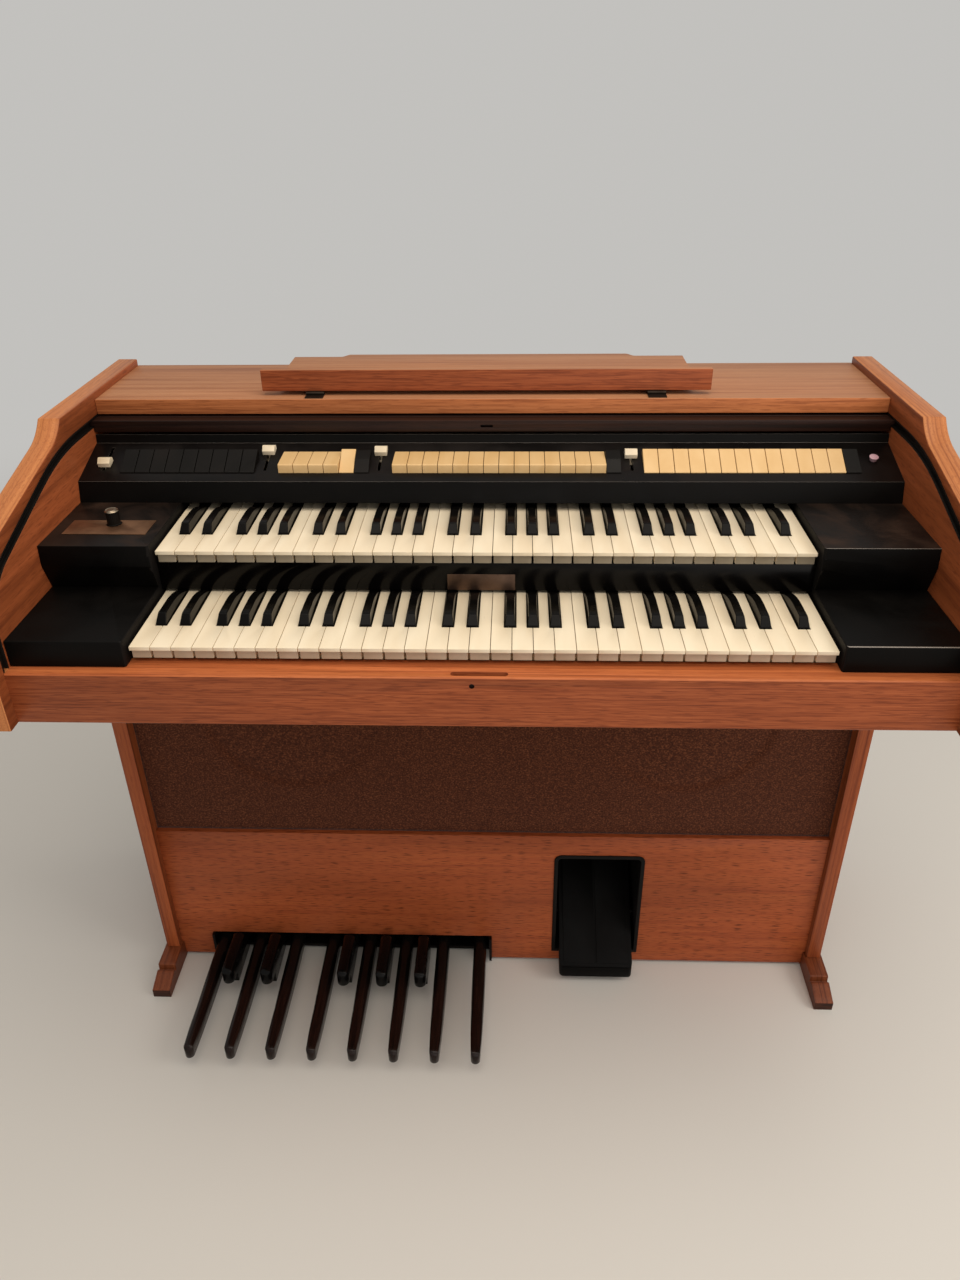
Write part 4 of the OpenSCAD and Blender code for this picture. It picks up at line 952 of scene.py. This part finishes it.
def slimmed(node):
    """Clean copy of a natural pedal whose sides run into the tip in one long curve."""
    mesh = clean_copy(node)
    low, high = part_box(node)
    middle = (low.x + high.x) / 2
    made = bmesh.new()
    made.from_mesh(mesh)
    for i in range(1, taper_cuts + 1):
        bmesh.ops.bisect_plane(made, geom=made.verts[:] + made.edges[:] + made.faces[:],
                               plane_co=(0, low.y + i * long_taper / taper_cuts, 0),
                               plane_no=(0, 1, 0))
    growth = full_half - tip_half
    for vertex in made.verts:
        along = max(vertex.co.y - low.y, tip_length)
        if along < long_taper:
            share = (along - tip_length) / (solid_taper - tip_length)
            solid = min(full_half, tip_half + growth * share)
            curve = full_half - growth * (1 - along / long_taper) ** 2
            vertex.co.x = middle + (vertex.co.x - middle) * min(1.0, curve / solid)
    made.to_mesh(mesh)
    made.free()
    return mesh


for name in sorted(nodes):
    if name in ("pedal_frame", "pedal_rod") or not name.startswith("pedal_"):
        continue
    if name.endswith("sharp"):
        dressed(name, 1.2, pedal_lacquer, corner=40.0)
    else:
        pedal = rounded(name + "_shaped", slimmed(name), 1.2, corner=40.0)
        put(paint(pedal, pedal_stain), name)

# %% [markdown]
# The cloth is a coarse brown weave with a fuzzy face, stretched over the speaker board. It sinks
# a little into the two round holes, which is why they can be seen from outside. The sheet is a
# grid, pulled in smoothly inside each circle.

# %% Speaker cloth
cloth_finish, tree, surface, place = finish("brown_speaker_weave", "#4f2919", 0.95, Sheen_Weight=0.1,
                                            Sheen_Roughness=0.5, Specular_IOR_Level=0.1)
tufts = noise(tree, place, 0.0020, 2.0)
threads = noise(tree, place, (0.0030, 0.002, 0.002), 1.0, (4.0, 1.0, 2.0))
both = add(tree, "ShaderNodeMath", {0: tufts, 1: threads}, operation="MULTIPLY")
link(tree, ramp(tree, both.outputs[0], (0.12, "#3b1d12"), (0.25, "#4f2919"), (0.42, "#6f4029")), surface,
     "Base Color")
bump(tree, surface, both.outputs[0], 0.0008, 0.6)

cloth_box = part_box("speaker_cloth")
cloth_width = cloth_box[1].x - cloth_box[0].x
cloth_height = cloth_box[1].z - cloth_box[0].z
across, down = 220, 84
speaker_x, speaker_z, speaker_r = 291 * MM, 500 * MM, 134 * MM
sink, rim = 3.5 * MM, 0.009
middle_plane, cloth_thickness = 0.9 * MM, 0.8 * MM
made = bmesh.new()
grid = []
for j in range(down + 1):
    line = []
    for i in range(across + 1):
        x = cloth_box[0].x + cloth_width * i / across
        z = cloth_box[0].z + cloth_height * j / down
        from_rim = speaker_r - math.hypot(abs(x) - speaker_x, z - speaker_z)
        inside = max(0.0, min(1.0, from_rim / rim))
        y = cloth_box[0].y + middle_plane + sink * inside * inside * (3 - 2 * inside)
        line.append(made.verts.new((x, y, z)))
    grid.append(line)
for j in range(down):
    for i in range(across):
        made.faces.new((grid[j][i], grid[j][i + 1], grid[j + 1][i + 1], grid[j + 1][i]))
mesh = mesh_of("speaker_cloth_sheet", made)
mesh.shade_smooth()
cloth = object_of("speaker_cloth_sheet", mesh)
weave = cloth.modifiers.new("thickness", "SOLIDIFY")
weave.thickness = cloth_thickness
weave.offset = 0.0
settled(cloth)
paint(cloth, cloth_finish)
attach(cloth, "console")
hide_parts("speaker_cloth")

# %% [markdown]
# A plain pale floor that fades into an even room, and plain soft light. The room is paler to
# the camera and in reflections than it is as a light, which leaves the shadows their depth.

# %% Floor and backdrop
floor_finish, tree, surface, place = finish("pale_floor", "#d9d6d0", 0.9)
away = add(tree, "ShaderNodeVectorMath", {0: place}, operation="LENGTH")
fade_from, fade_to = 1.1, 3.4
fade = add(tree, "ShaderNodeMapRange",
           {"Value": away.outputs["Value"], "From Min": fade_from, "From Max": fade_to},
           interpolation_type="SMOOTHSTEP")
clear = add(tree, "ShaderNodeBsdfTransparent")
mixed = add(tree, "ShaderNodeMixShader",
            {"Fac": fade.outputs[0], 1: surface.outputs[0], 2: clear.outputs[0]})
tree.links.new(mixed.outputs[0], tree.nodes["Material Output"].inputs["Surface"])
mesh = bpy.data.meshes.new("floor")
reach = 6.0
mesh.from_pydata([(-reach, -reach, 0), (reach, -reach, 0), (reach, reach, 0), (-reach, reach, 0)], [],
                 [(0, 1, 2, 3)])
floor = object_of("floor", mesh)
mesh.materials.append(floor_finish)

# %% Lights
def soft_light(name, place, aim, size, power, tint="#ffffff"):
    """A square soft lamp at a place, aimed at a point."""
    lamp = bpy.data.objects.new(name, bpy.data.lights.new(name, "AREA"))
    lamp.data.size = size
    lamp.data.energy = power
    lamp.data.color = colour(tint)[:3]
    lamp.location = place
    lamp.rotation_euler = (Vector(aim) - Vector(place)).to_track_quat("-Z", "Y").to_euler()
    bpy.context.scene.collection.objects.link(lamp)


soft_light("ceiling_light", (0.2, -0.6, 2.9), aim=(0, 0, 0.7), size=2.2, power=42, tint="#fff4e6")
soft_light("window_light", (2.2, -0.9, 1.9), aim=(0.2, 0, 0.7), size=1.4, power=22, tint="#fff8f0")
soft_light("front_fill", (0.7, -2.6, 1.3), aim=(0, 0, 0.6), size=1.8, power=12, tint="#fff6ee")
world = bpy.data.worlds.new("room")
world.use_nodes = True
bpy.context.scene.world = world
tree = world.node_tree
tree.nodes.clear()
rays = add(tree, "ShaderNodeLightPath")
seen = add(tree, "ShaderNodeMath", {0: rays.outputs["Is Camera Ray"], 1: rays.outputs["Is Glossy Ray"]},
           operation="MAXIMUM")
through = add(tree, "ShaderNodeMath", {0: seen.outputs[0], 1: rays.outputs["Is Transmission Ray"]},
              operation="MAXIMUM")
room_as_light, room_as_seen = 0.4, 0.6
strength = add(tree, "ShaderNodeMapRange",
               {"Value": through.outputs[0], "To Min": room_as_light, "To Max": room_as_seen})
sky = add(tree, "ShaderNodeBackground", {"Color": colour("#f4f2ee"), "Strength": strength.outputs[0]})
add(tree, "ShaderNodeOutputWorld", {"Surface": sky.outputs[0]})
